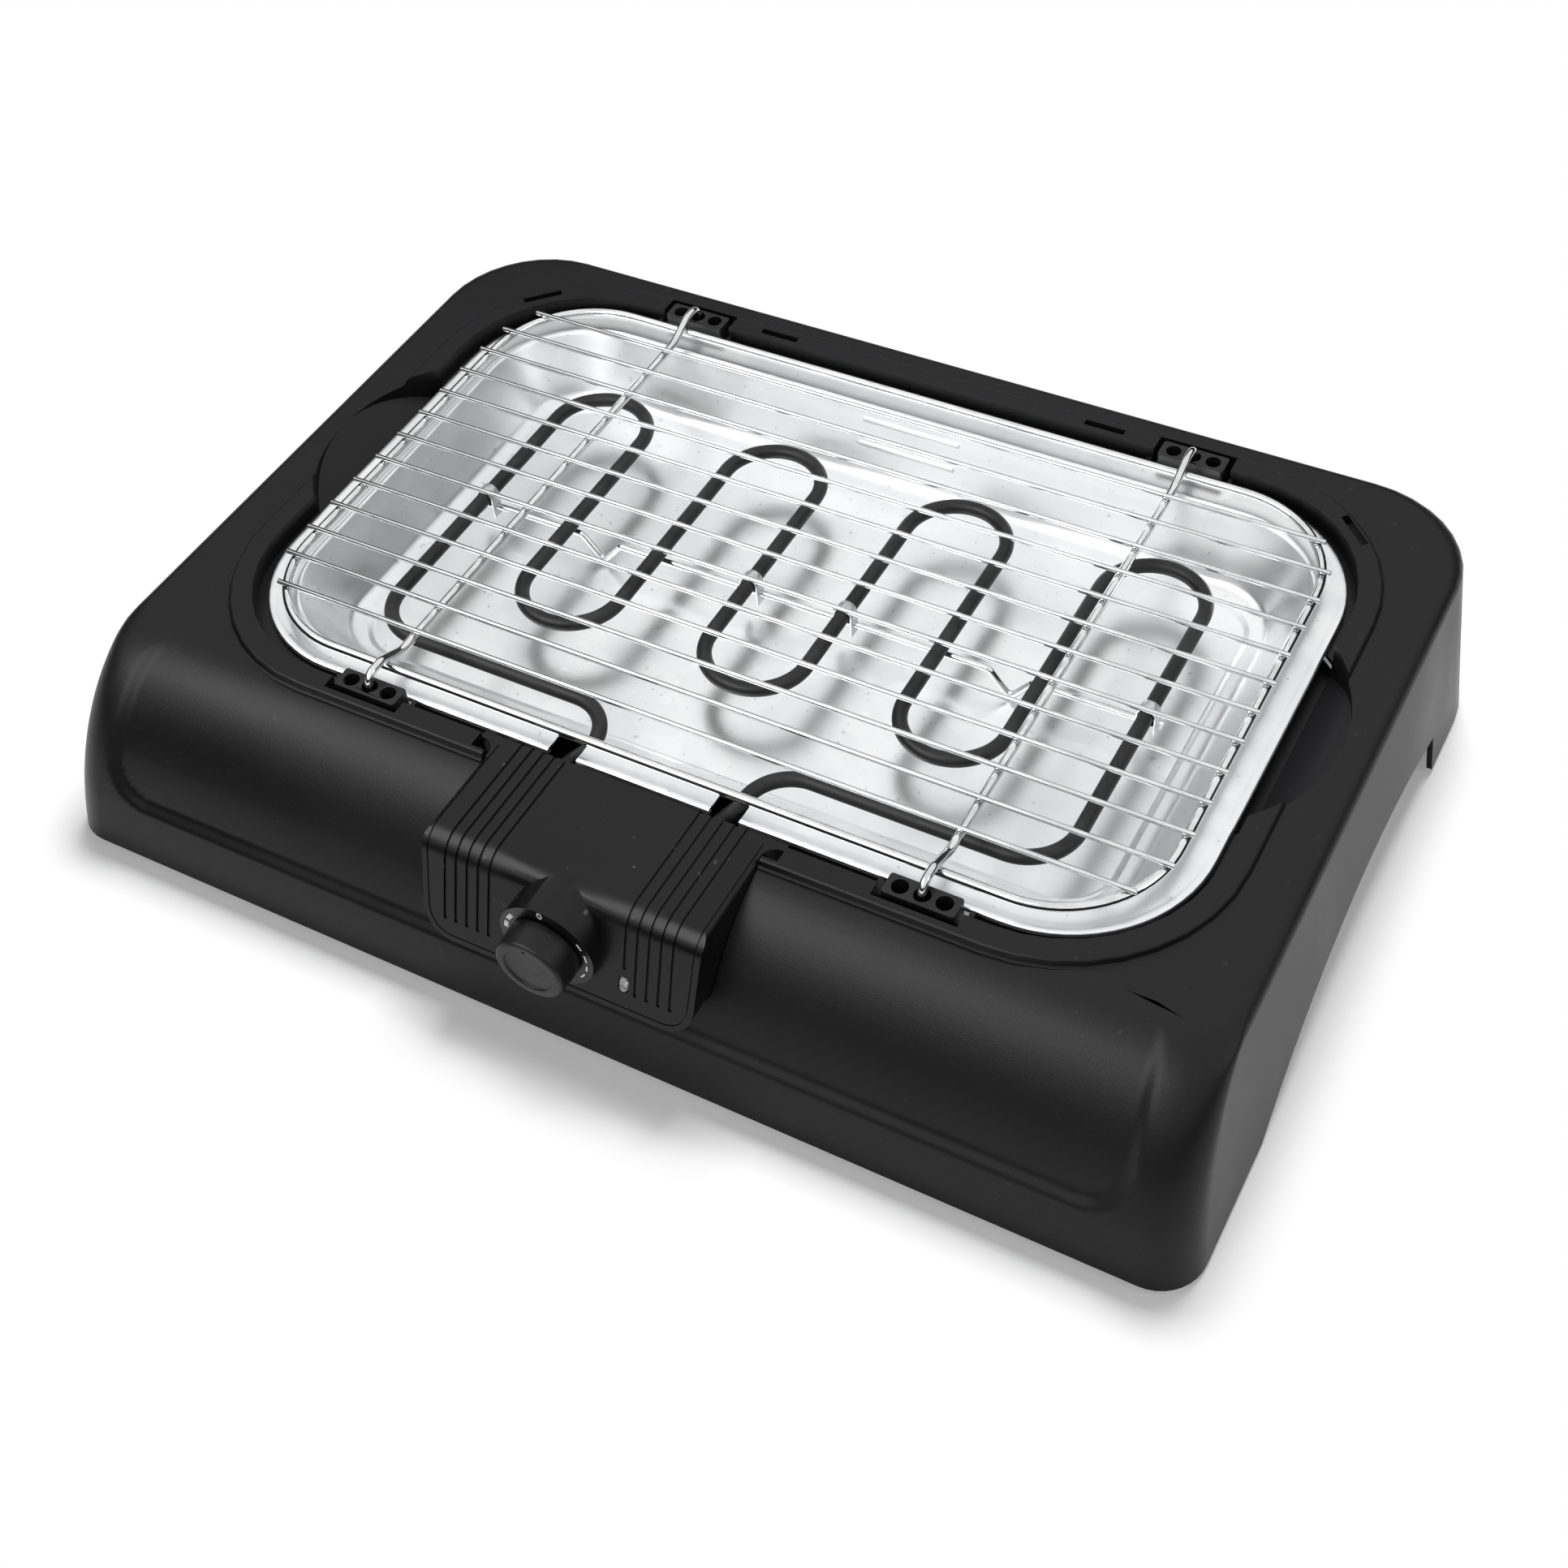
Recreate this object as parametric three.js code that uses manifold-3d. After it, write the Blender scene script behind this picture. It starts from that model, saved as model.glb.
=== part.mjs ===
// Electric table barbecue: a plastic housing, a lift-out drip tray, a lift-out heater unit
// with its control box, and a wire rack that stands in four blocks.
// Millimetres. x runs to the right, y to the rear and z up from the table.
// y = 0 is the middle of the rack.

import * as THREE from 'three';
import { mergeVertices } from 'three/addons/utils/BufferGeometryUtils.js';
import Module from 'manifold-3d';

const wasm = await Module();
wasm.setup();

// Fits that every piece shares
const touchGap = 0.3;
const overrun = 6;

// Rack
const wirePitch = 17;
const crossWireCount = 13;
const crossWireDiameter = 2.3;
const rimWireDiameter = 4;
const rackHalfWidth = 201;
const rackEndMargin = 19.5;
const rackCornerRadius = 48;
const crossWireOverhang = 3.6;
const legX = 124.8;
const legWireDiameter = 3.8;
const legOverhang = 12.7;
const legCrest = 2.3;
const legKneeInset = 10;
const legShoulderInset = 9.6;
const legBendRadius = 5;
const kneeBendRadius = 12;

// Housing shell
const housingWall = 2.4;
const deckHeight = 83.5;
const standHeight = 2.5;
const wellMarginSide = 16.5;
const wellMarginFront = 14;
const wellMarginRear = 11;
const wellRadius = 64;
const deckMarginSide = 32.5;
const deckMarginRear = 23.5;
const deckMarginFront = 6.5;
const swoopDepth = 60;
const sideDraft = 11;
const rearDraft = 4;
const deckEdgeRadius = 5;
const frontCornerRadius = 19;
const rearCornerRadius = 48;
const swoopFirstShares = [0.42, 1];
const swoopSecondShares = [0.88, 0.65];

// Recessed front panel
const panelMargin = 21;
const panelBottom = 27;
const panelCornerRadius = 24;
const panelDepth = 3;
const panelSoftness = 6;

// Raised ring round the well, its slots and the skirt under it
const ringRise = 3;
const ringWidth = 10;
const ringRadius = 74;
const ringEdgeRadius = 1.6;
const ringFootFlare = 1.4;
const skirtThickness = 2;
const ledgeThickness = 2;
const ledgeReach = 5;
const slotLength = 18.8;
const slotWidth = 3.3;
const slotX = 82;
const slotInset = 4.8;
const cornerSlotX = 202.5;
const cornerSlotY = 118;
const cornerSlotAngle = 45;

// Hand scoops beside the well
const scoopRadius = 70;
const scoopReach = 20;
const scoopCentreY = 1;
const scoopDepth = 14.5;
const scoopTuck = 16;

// Sill below the tray's notches, hung from the lip by two cheeks
const sillDrop = 12.5;
const sillReach = 21.5;
const cheekThickness = 2;

// Arches in the side walls
const archHeight = 31;
const archRadius = 310;
const archCentreY = 3;
const archFrontReach = 135;
const archRearReach = 77;

// Rubber feet and the corner webs that hold them
const footInset = 21;
const webRadius = 30;
const webThickness = 2.4;
const footRadius = 9;
const footStemRadius = 2.7;
const footHeadRadius = 3.7;
const footHeadHeight = 1.8;

// Rack blocks and their screws
const blockWidth = 30;
const blockDepth = 10;
const blockHeight = 16;
const blockRise = 3.4;
const blockEdge = 1.2;
const blockHoleRadius = 3.4;
const blockHolePitch = 9.1;
const blockHoleDepth = 10;
const notchGap = 2.7;
const pocketWall = 2;
const screwRadius = 1.4;
const screwHeadRadius = 3;
const screwHeadHeight = 1.8;
const blockScrewLength = 6.5;

// Drip tray
const traySheet = 0.9;
const trayGapSide = 3.5;
const trayGapFront = 7.1;
const trayGapRear = 3.9;
const trayRimDrop = 3;
const trayCornerRadius = 60;
const trayRimWidth = 13;
const trayBeadHeight = 3;
const trayBeadChamfer = 0.8;
const trayDepth = 30;
const trayWallRun = 15;
const trayFloorRun = 6;
const trayFloorRise = 3.4;
const trayBorderWidth = 3;
const trayStepRun = 2.5;
const trayStepHeight = 1.4;
const trayNotchX = 37;
const trayNotchWidth = 13.4;
const trayNotchDepth = 16.5;

// Heating element and its support
const elementDiameter = 6.5;
const elementDrop = 10.8;
const elementRunGaps = 7;
const elementInsetSide = 54.4;
const elementInsetRear = 46.8;
const elementInsetFront = 37.9;
const elementFrontGap = 32.9;
const elementCornerRadius = 22;
const elementLegRadius = 20;
const terminalX = 35;
const terminalDrop = 4.5;
const terminalRampInset = 0.4;
const terminalRampLength = 14;
const terminalRampRadius = 8;
const terminalInset = 17;
const terminalPinRadius = 1.6;
const terminalPinLength = 10;
const rodDiameter = 3;
const rodOverhang = 6.4;
const rodFootOffset = 31.1;
const rodFootHalfWidth = 10;
const rodFootBendRadius = 3;
const strapThickness = 0.8;
const strapWidth = 6;
const strapTail = 4;

// Control box
const boxWall = 2.2;
const boxRearInset = 2.3;
const boxTopDepth = 54.7;
const boxRise = 1.5;
const boxHeight = 44;
const boxHalfWidth = 62.5;
const boxTaper = 2;
const boxCornerRadius = 13;
const boxEdgeRadius = 3;
const boxBendRadius = 12;
const boxFaceTilt = THREE.MathUtils.degToRad(18);
const boxFitGap = 0.4;
const wingReach = 6.2;
const wingDepth = 3.5;
const wingFillet = 6;
const wingHeight = 9;
const edgeGrooveInset = 2.2;
const edgeGrooveWidth = 0.6;
const edgeGrooveDepth = 0.5;
const grooveWidth = 1.5;
const grooveDepth = 0.8;
const groovePitch = 5.1;
const grooveFirstX = 30.6;
const grooveCount = 5;
const grooveEndHeight = 9;
const grooveRearInset = 4;
const basePlateThickness = 2.2;
const basePlateHalfWidth = 44.7;
const basePlateFrontInset = 7;
const postRadius = 3.6;
const screwSeatThickness = 1.6;
const screwPadRadius = 4.7;
const postHoleDepth = 12;
const frontPostX = 38;
const frontPostInset = 50;
const rearPostX = 20;
const rearPostInset = 10;
const coverScrewLength = 9;

// Dial, knob and thermostat
const dialRadius = 20.7;
const dialSink = 0.2;
const dialPlateThickness = 2.2;
const knobLength = 12.6;
const knobBaseRadius = 15.4;
const knobCapRadius = 14.8;
const knobEdge = 0.8;
const knobDishRadius = 10.6;
const knobDishDepth = 0.7;
const knobBoreDepth = 9;
const knobGap = 0.4;
const pointerWidth = 1.4;
const pointerLength = 2.6;
const pointerDepth = 0.5;
const shaftRadius = 3;
const shaftSeatDepth = 4;
const thermostatRadius = 15;
const thermostatLength = 18;

// Signal lamp and what the box holds
const lensX = 30.6;
const lensHeight = 12.6;
const lensWidth = 4;
const lensLength = 7;
const lensThickness = 3;
const lensProud = 0.3;
const lensRoundShare = 0.98;
const lampRadius = 2.6;
const lampLength = 10;
const terminalBlockSize = [24, 10, 12];
const terminalBlockInset = 25;
const cutoutSize = [12, 12, 7.5];
const cutoutX = 29;
const cutoutInset = 28;
const leadRadius = 1.3;
const leadX = 8;
const leadRise = 10;
const leadBendRadius = 4;
const sealRadius = 4.7;
const sealFlangeRadius = 5.8;
const sealFlangeThickness = 2;
const sealNose = 1;
const glandX = -30;
const glandInset = 27;
const glandBoreRadius = 3.7;
const glandNeckRadius = 6;
const glandFlangeRadius = 7.5;
const glandFlangeThickness = 1.6;
const glandTail = 5;
const glandSlotMargin = 2;

// Counts of facets
const cornerSteps = 6;
const fewSteps = 3;
const shellCornerSteps = 9;
const edgeSteps = 4;
const swoopSteps = 7;
const swoopCrowding = 1.4;
const panelCornerLevels = 10;
const panelSoftLevels = 5;
const footLevels = 3;
const stationCount = 16;
const stationCrowding = 1.2;
const bisectSteps = 30;
const wireSides = 8;
const elementSides = 8;
const roundSides = 16;
const smallSides = 12;
const knobSides = 40;
const discSides = 72;
const wireBendSteps = 4;
const elementTurnSteps = 12;
const hairpinShare = 0.9999;

// Places that follow from the sizes
const crossWireSpan = wirePitch * (crossWireCount - 1);
const rackHalfDepth = crossWireSpan / 2 + rackEndMargin;
const ringTop = deckHeight + ringRise;
const blockTop = deckHeight + blockRise;
const wireRadius = crossWireDiameter / 2;
const rimWireRadius = rimWireDiameter / 2;
const legRadius = legWireDiameter / 2;
const blockHoleFloor = blockTop - blockHoleDepth;
const rimWireZ = blockTop - touchGap;
const crossWireZ = rimWireZ + rimWireRadius + touchGap + wireRadius;
const legZ = crossWireZ - wireRadius - touchGap - legRadius;
const legCrestZ = crossWireZ + legCrest;
const legEndY = rackHalfDepth + legOverhang;
const openingHalfWidth = rackHalfWidth + wellMarginSide;
const openingFrontY = -(rackHalfDepth + wellMarginFront);
const openingRearY = rackHalfDepth + wellMarginRear;
const deckHalfWidth = openingHalfWidth + deckMarginSide;
const deckRearY = openingRearY + deckMarginRear;
const deckFrontY = openingFrontY - deckMarginFront;
const footHalfWidth = deckHalfWidth + sideDraft;
const footRearY = deckRearY + rearDraft;
const footFrontY = deckFrontY - swoopDepth;
const trayHalfWidth = openingHalfWidth - trayGapSide;
const trayFrontY = openingFrontY + trayGapFront;
const trayRearY = openingRearY - trayGapRear;
const rimTop = deckHeight - trayRimDrop;
const trayFloorTop = rimTop - trayDepth;
const ledgeTop = rimTop - trayBeadHeight - touchGap;
const skirtBottom = ledgeTop - ledgeThickness;
const scoopFloorZ = deckHeight - scoopDepth;
const elementRadius = elementDiameter / 2;
const elementHalfWidth = trayHalfWidth - elementInsetSide;
const elementPitch = (2 * elementHalfWidth) / elementRunGaps;
const elementTurnRadius = elementPitch / 2;
const elementRearY = trayRearY - elementInsetRear - elementTurnRadius;
const elementFrontY = trayFrontY + elementInsetFront;
const elementTurnY = elementFrontY + elementFrontGap + elementTurnRadius;
const terminalRampFrontY = trayFrontY + terminalRampInset;
const terminalRampRearY = terminalRampFrontY + terminalRampLength;
const rodHalfLength = elementHalfWidth + rodOverhang;
const rodFootX = elementPitch + elementTurnRadius + rodFootOffset;
const elementZ = rimTop - elementDrop;
const terminalZ = rimTop - terminalDrop;
const rodRadius = rodDiameter / 2;
const rodZ = elementZ - elementRadius - touchGap - rodRadius;
const rodFootZ = trayFloorTop + touchGap + rodRadius;
const boxRearY = openingFrontY + boxRearInset;
const boxTop = deckHeight + boxRise;
const wingHalfWidth = boxHalfWidth + wingReach;
const boxBottom = boxTop - boxHeight;
const boxFrontTopY = boxRearY - boxTopDepth;
const basePlateTop = boxBottom + basePlateThickness;
const coverScrewTop = boxBottom + touchGap + screwHeadHeight;
const screwPadTop = coverScrewTop + touchGap + screwSeatThickness;
const dialZ = boxTop - dialRadius - dialSink;
const dialPlateY = faceY(dialZ - dialRadius);
const knobRearY = dialPlateY - knobGap;
const lensZ = boxBottom + lensHeight;
const panelHalfWidth = footHalfWidth - panelMargin;
const pocketFloor = blockTop - blockHeight - touchGap;
const holeRadius = screwRadius + touchGap;

// Materials
const blackPlastic = new THREE.MeshStandardMaterial({ color: 0x17181a, roughness: 0.55, metalness: 0 });
const boxPlastic = new THREE.MeshStandardMaterial({ color: 0x1b1c1e, roughness: 0.45, metalness: 0 });
const rubber = new THREE.MeshStandardMaterial({ color: 0x202020, roughness: 0.9, metalness: 0 });
const galvanised = new THREE.MeshStandardMaterial({ color: 0xd9dcde, roughness: 0.28, metalness: 1 });
const chrome = new THREE.MeshStandardMaterial({ color: 0xe8e8e8, roughness: 0.08, metalness: 1 });
const heaterTube = new THREE.MeshStandardMaterial({ color: 0x2a2c2e, roughness: 0.5, metalness: 0.6 });
const zincSteel = new THREE.MeshStandardMaterial({ color: 0xb4b6b8, roughness: 0.35, metalness: 1 });
const ceramic = new THREE.MeshStandardMaterial({ color: 0xe6dfcf, roughness: 0.6, metalness: 0 });
const clearPlastic = new THREE.MeshStandardMaterial({ color: 0xe9e4dc, roughness: 0.1, metalness: 0 });
const leadSleeve = new THREE.MeshStandardMaterial({ color: 0xd8d2c4, roughness: 0.7, metalness: 0 });

// The control box's front face leans out towards its foot
function faceY(z) {
  return boxFrontTopY - (boxTop - z) * Math.tan(boxFaceTilt);
}

// Closed geometry to solid and back
function toSolid(geometry) {
  const plain = geometry.clone();
  plain.deleteAttribute('normal');
  plain.deleteAttribute('uv');
  const welded = mergeVertices(plain);
  return new wasm.Manifold(new wasm.Mesh({
    numProp: 3,
    vertProperties: new Float32Array(welded.attributes.position.array),
    triVerts: new Uint32Array(welded.index.array),
  }));
}

function toGeometry(solid) {
  const main = solid.decompose().reduce((best, other) => (other.volume() > best.volume() ? other : best));
  const result = main.getMesh();
  const geometry = new THREE.BufferGeometry();
  geometry.setAttribute('position', new THREE.BufferAttribute(new Float32Array(result.vertProperties), 3));
  geometry.setIndex(new THREE.BufferAttribute(new Uint32Array(result.triVerts), 1));
  geometry.computeVertexNormals();
  return geometry;
}

function piece(name, shape, material) {
  const geometry = shape.isBufferGeometry ? shape : toGeometry(shape);
  const mesh = new THREE.Mesh(geometry, material);
  mesh.name = name;
  return mesh;
}

// Polygon corners [x, y, radius] to points with each corner rounded
function roundCorners(corners, steps = cornerSteps) {
  const points = [];
  corners.forEach(([x, y, radius], index) => {
    const corner = new THREE.Vector2(x, y);
    if (!radius) {
      points.push(corner);
      return;
    }
    const [beforeX, beforeY] = corners[(index + corners.length - 1) % corners.length];
    const [afterX, afterY] = corners[(index + 1) % corners.length];
    const back = new THREE.Vector2(beforeX, beforeY).sub(corner).normalize();
    const ahead = new THREE.Vector2(afterX, afterY).sub(corner).normalize();
    const half = Math.acos(THREE.MathUtils.clamp(back.dot(ahead), -1, 1)) / 2;
    const inward = back.clone().add(ahead).normalize();
    const centre = corner.clone().addScaledVector(inward, radius / Math.sin(half));
    const start = corner.clone().addScaledVector(back, radius / Math.tan(half)).sub(centre);
    const turn = (Math.PI - 2 * half) * Math.sign(ahead.cross(back));
    for (let step = 0; step <= steps; step += 1) {
      const origin = new THREE.Vector2();
      points.push(start.clone().rotateAround(origin, (turn * step) / steps).add(centre));
    }
  });
  return points;
}

// Rounded rectangle in plan, counter-clockwise from above
function planOutline(halfWidth, frontY, rearY, frontRadius, rearRadius, steps = cornerSteps) {
  return roundCorners([
    [halfWidth, frontY, frontRadius],
    [halfWidth, rearY, rearRadius],
    [-halfWidth, rearY, rearRadius],
    [-halfWidth, frontY, frontRadius],
  ], steps);
}

// Closed body through outlines of equal point counts, stacked from the lowest up
function loft(levels) {
  const count = levels[0].outline.length;
  const positions = [];
  levels.forEach(({ z, outline }) => outline.forEach((point) => positions.push(point.x, point.y, z)));
  const index = [];
  const cap = THREE.ShapeUtils.triangulateShape(levels[0].outline, []);
  const topStart = (levels.length - 1) * count;
  cap.forEach(([a, b, c]) => index.push(a, c, b));
  cap.forEach(([a, b, c]) => index.push(topStart + a, topStart + b, topStart + c));
  for (let level = 0; level < levels.length - 1; level += 1) {
    for (let point = 0; point < count; point += 1) {
      const low = level * count + point;
      const lowNext = level * count + ((point + 1) % count);
      index.push(low, lowNext, lowNext + count, low, lowNext + count, low + count);
    }
  }
  const geometry = new THREE.BufferGeometry();
  geometry.setAttribute('position', new THREE.BufferAttribute(new Float32Array(positions), 3));
  geometry.setIndex(index);
  return toSolid(geometry);
}

function extruded(points, depth) {
  return new THREE.ExtrudeGeometry(new THREE.Shape(points), { depth, bevelEnabled: false });
}

// Extrusions of a flat outline along each axis
function alongZ(points, zFrom, zTo) {
  const geometry = extruded(points, zTo - zFrom);
  return toSolid(geometry.translate(0, 0, zFrom));
}

function alongY(points, yFrom, yTo) {
  const geometry = extruded(points, yTo - yFrom);
  return toSolid(geometry.rotateX(Math.PI / 2).translate(0, yTo, 0));
}

function alongX(points, xFrom, xTo) {
  const geometry = extruded(points, xTo - xFrom);
  const turn = new THREE.Matrix4().makeBasis(
    new THREE.Vector3(0, 1, 0),
    new THREE.Vector3(0, 0, 1),
    new THREE.Vector3(1, 0, 0),
  );
  return toSolid(geometry.applyMatrix4(turn).translate(xFrom, 0, 0));
}

function box(xFrom, xTo, yFrom, yTo, zFrom, zTo) {
  const geometry = new THREE.BoxGeometry(xTo - xFrom, yTo - yFrom, zTo - zFrom);
  return toSolid(geometry.translate((xFrom + xTo) / 2, (yFrom + yTo) / 2, (zFrom + zTo) / 2));
}

// Upright round pin or hole from zFrom to zTo
function pin(x, y, radius, zFrom, zTo, sides = roundSides) {
  const geometry = new THREE.CylinderGeometry(radius, radius, zTo - zFrom, sides);
  return toSolid(geometry.rotateX(Math.PI / 2).translate(x, y, (zFrom + zTo) / 2));
}

// Round pin or hole that runs from front to rear
function levelPin(x, z, radius, yFrom, yTo, sides = roundSides) {
  const geometry = new THREE.CylinderGeometry(radius, radius, yTo - yFrom, sides);
  return toSolid(geometry.translate(x, (yFrom + yTo) / 2, z));
}

// Turned body round an upright axis from profile points [radius, height]
function turned(profile, sides = roundSides) {
  const points = profile.map(([radius, height]) => new THREE.Vector2(radius, height));
  return new THREE.LatheGeometry(points, sides);
}

function uprightTurned(profile, x, y, z, sides = roundSides) {
  return toSolid(turned(profile, sides).rotateX(Math.PI / 2).translate(x, y, z));
}

// Path whose rings sit where the wire bends, and only at the ends of its straight runs
class BentWirePath extends THREE.Curve {
  constructor(corners, bendSteps) {
    super();
    this.nodes = [corners[0].at.clone()];
    for (let index = 1; index < corners.length - 1; index += 1) {
      this.addBend(corners[index - 1].at, corners[index], corners[index + 1].at, bendSteps);
    }
    this.nodes.push(corners[corners.length - 1].at.clone());
  }

  addBend(before, { at, radius }, after, bendSteps) {
    const back = before.clone().sub(at).normalize();
    const ahead = after.clone().sub(at).normalize();
    const half = back.angleTo(ahead) / 2;
    const axis = ahead.clone().cross(back).normalize();
    const centre = at.clone().addScaledVector(back.clone().add(ahead).normalize(), radius / Math.sin(half));
    const start = at.clone().addScaledVector(back, radius / Math.tan(half)).sub(centre);
    const turn = Math.PI - 2 * half;
    for (let step = 0; step <= bendSteps; step += 1) {
      this.nodes.push(start.clone().applyAxisAngle(axis, (turn * step) / bendSteps).add(centre));
    }
  }

  get steps() {
    return this.nodes.length - 1;
  }

  getPointAt(share, target = new THREE.Vector3()) {
    return target.copy(this.nodes[Math.round(share * this.steps)]);
  }

  getTangentAt(share, target = new THREE.Vector3()) {
    const index = Math.round(share * this.steps);
    const before = this.nodes[Math.max(index - 1, 0)];
    const here = this.nodes[index];
    const after = this.nodes[Math.min(index + 1, this.steps)];
    const arriving = here.clone().sub(before).normalize();
    const leaving = after.clone().sub(here).normalize();
    return target.copy(arriving.add(leaving)).normalize();
  }
}

function corner(x, y, z, radius = 0) {
  return { at: new THREE.Vector3(x, y, z), radius };
}

function wire(corners, radius, sides = wireSides, bendSteps = wireBendSteps) {
  const path = new BentWirePath(corners, bendSteps);
  const section = new THREE.Shape().absarc(0, 0, radius, 0, 2 * Math.PI);
  return new THREE.ExtrudeGeometry(section, {
    steps: path.steps,
    curveSegments: sides / 2,
    extrudePath: path,
    bevelEnabled: false,
  });
}

// Side view of the front: forward reach of the skin at a height, both as shares
function swoopReachShare(heightShare) {
  const swoop = new THREE.CubicBezierCurve(
    new THREE.Vector2(0, 1),
    new THREE.Vector2(...swoopFirstShares),
    new THREE.Vector2(...swoopSecondShares),
    new THREE.Vector2(1, 0),
  );
  let low = 0;
  let high = 1;
  for (let step = 0; step < bisectSteps; step += 1) {
    const middle = (low + high) / 2;
    if (swoop.getPoint(middle).y > heightShare) {
      low = middle;
    } else {
      high = middle;
    }
  }
  return swoop.getPoint(low).x;
}

// How far the front panel lies behind the skin round it, with a soft border that keeps
// its distance from the sides as they lean in
function panelSink(x, z, halfWidth) {
  const fromSide = halfWidth - panelMargin - Math.abs(x);
  const fromLow = z - panelBottom;
  const inCorner = Math.max(fromSide, fromLow) < panelCornerRadius;
  const cornerReach = Math.hypot(panelCornerRadius - fromSide, panelCornerRadius - fromLow);
  const inside = inCorner ? panelCornerRadius - cornerReach : Math.min(fromSide, fromLow);
  return panelDepth * THREE.MathUtils.smoothstep(inside, 0, panelSoftness);
}

// Heights at which the skin has an outline, from the foot up
function skinHeights() {
  const heights = [];
  const stretch = (from, to, count, crowding = 1) => {
    for (let step = 0; step < count; step += 1) {
      heights.push(THREE.MathUtils.lerp(to, from, (1 - step / count) ** crowding));
    }
  };
  const edgeStart = deckHeight - deckEdgeRadius;
  stretch(standHeight, panelBottom, footLevels);
  stretch(panelBottom, panelBottom + panelSoftness, panelSoftLevels);
  stretch(panelBottom + panelSoftness, panelBottom + panelCornerRadius, panelCornerLevels);
  stretch(panelBottom + panelCornerRadius, edgeStart, swoopSteps, swoopCrowding);
  for (let step = 0; step <= edgeSteps; step += 1) {
    heights.push(edgeStart + deckEdgeRadius * Math.sin((Math.PI / 2) * (step / edgeSteps)));
  }
  return heights;
}

// One outline of the housing: inset shrinks its sides and rear, and its front by depth only
function housingOutline(z, top, inset, steps) {
  const heightShare = (z - standHeight) / (top - standHeight);
  const edge = deckEdgeRadius - inset;
  const intoEdge = Math.max(edge - (top - z), 0);
  const rounding = inset + edge - Math.sqrt(edge ** 2 - intoEdge ** 2);
  const halfWidth = THREE.MathUtils.lerp(footHalfWidth, deckHalfWidth, heightShare) - rounding;
  const rearY = THREE.MathUtils.lerp(footRearY, deckRearY, heightShare) - rounding;
  const frontY = THREE.MathUtils.lerp(deckFrontY, footFrontY + inset, swoopReachShare(heightShare));
  const frontRadius = frontCornerRadius - inset;
  const outline = planOutline(halfWidth, frontY, rearY, frontRadius, rearCornerRadius - inset, steps);
  return { outline, frontY, halfWidth };
}

// Outer form, with extra points along the front that let its panel sink softly
function outerForm() {
  return loft(skinHeights().map((z) => {
    const { outline, frontY, halfWidth } = housingOutline(z, deckHeight, 0, shellCornerSteps);
    const straightEnd = halfWidth - frontCornerRadius;
    const stations = [];
    for (let step = 1; step <= stationCount; step += 1) {
      const share = (step / stationCount) ** stationCrowding;
      stations.push(straightEnd - (panelCornerRadius + panelSoftness) * share);
    }
    stations.forEach((x) => outline.push(new THREE.Vector2(-x, frontY)));
    stations.reverse().forEach((x) => outline.push(new THREE.Vector2(x, frontY)));
    outline.forEach((point) => {
      if (point.y < frontY + frontCornerRadius) {
        point.y += panelSink(point.x, z, halfWidth);
      }
    });
    return { z, outline };
  }));
}

// Inner form: one wall inside the outer one, and open downwards
function innerForm() {
  const top = deckHeight - housingWall;
  const levels = skinHeights()
    .filter((z, index) => index % 2 === 0)
    .map((z) => THREE.MathUtils.mapLinear(z, standHeight, deckHeight, standHeight, top))
    .map((z) => ({ z, outline: housingOutline(z, top, housingWall, cornerSteps).outline }));
  levels.unshift({ z: standHeight - overrun, outline: levels[0].outline });
  const body = loft(levels);
  const halfWidth = panelHalfWidth + housingWall;
  const low = panelBottom - housingWall;
  const window = alongY(roundCorners([
    [-halfWidth, low, panelCornerRadius + housingWall],
    [halfWidth, low, panelCornerRadius + housingWall],
    [halfWidth, deckHeight, 0],
    [-halfWidth, deckHeight, 0],
  ]), footFrontY - overrun, deckFrontY);
  return body.subtract(window.subtract(body.translate([0, panelDepth, 0])));
}

// Raised ring with a flared foot and a rounded outer edge
function ringSolid() {
  const level = (z, inset) => ({
    z,
    outline: planOutline(
      openingHalfWidth + ringWidth - inset,
      openingFrontY - ringWidth + inset,
      openingRearY + ringWidth - inset,
      ringRadius - inset,
      ringRadius - inset,
      shellCornerSteps,
    ),
  });
  const levels = [
    level(deckHeight - housingWall, -ringFootFlare),
    level(deckHeight, -ringFootFlare),
    level(deckHeight + ringFootFlare / 4, -ringFootFlare / 4),
    level(ringTop - ringEdgeRadius, 0),
  ];
  for (let step = 1; step <= edgeSteps; step += 1) {
    const angle = (Math.PI / 2) * (step / edgeSteps);
    const rise = ringEdgeRadius * Math.sin(angle);
    levels.push(level(ringTop - ringEdgeRadius + rise, ringEdgeRadius - ringEdgeRadius * Math.cos(angle)));
  }
  return loft(levels);
}

function openingOutline(margin) {
  return planOutline(
    openingHalfWidth + margin,
    openingFrontY - margin,
    openingRearY + margin,
    wellRadius + margin,
    wellRadius + margin,
    shellCornerSteps,
  );
}

// Lip round the foot of the skirt that carries the tray's rim and leaves the box free
function trayLip() {
  const outer = alongZ(openingOutline(skirtThickness), skirtBottom, ledgeTop);
  const inside = planOutline(
    trayHalfWidth - ledgeReach,
    trayFrontY + ledgeReach,
    trayRearY - ledgeReach,
    trayCornerRadius - ledgeReach,
    trayCornerRadius - ledgeReach,
    shellCornerSteps,
  );
  const half = wingHalfWidth + boxFitGap;
  const boxRoom = box(-half, half, openingFrontY, trayFrontY + trayRimWidth, skirtBottom - overrun, ringTop);
  return outer.subtract(alongZ(inside, skirtBottom - overrun, ringTop)).subtract(boxRoom);
}

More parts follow.
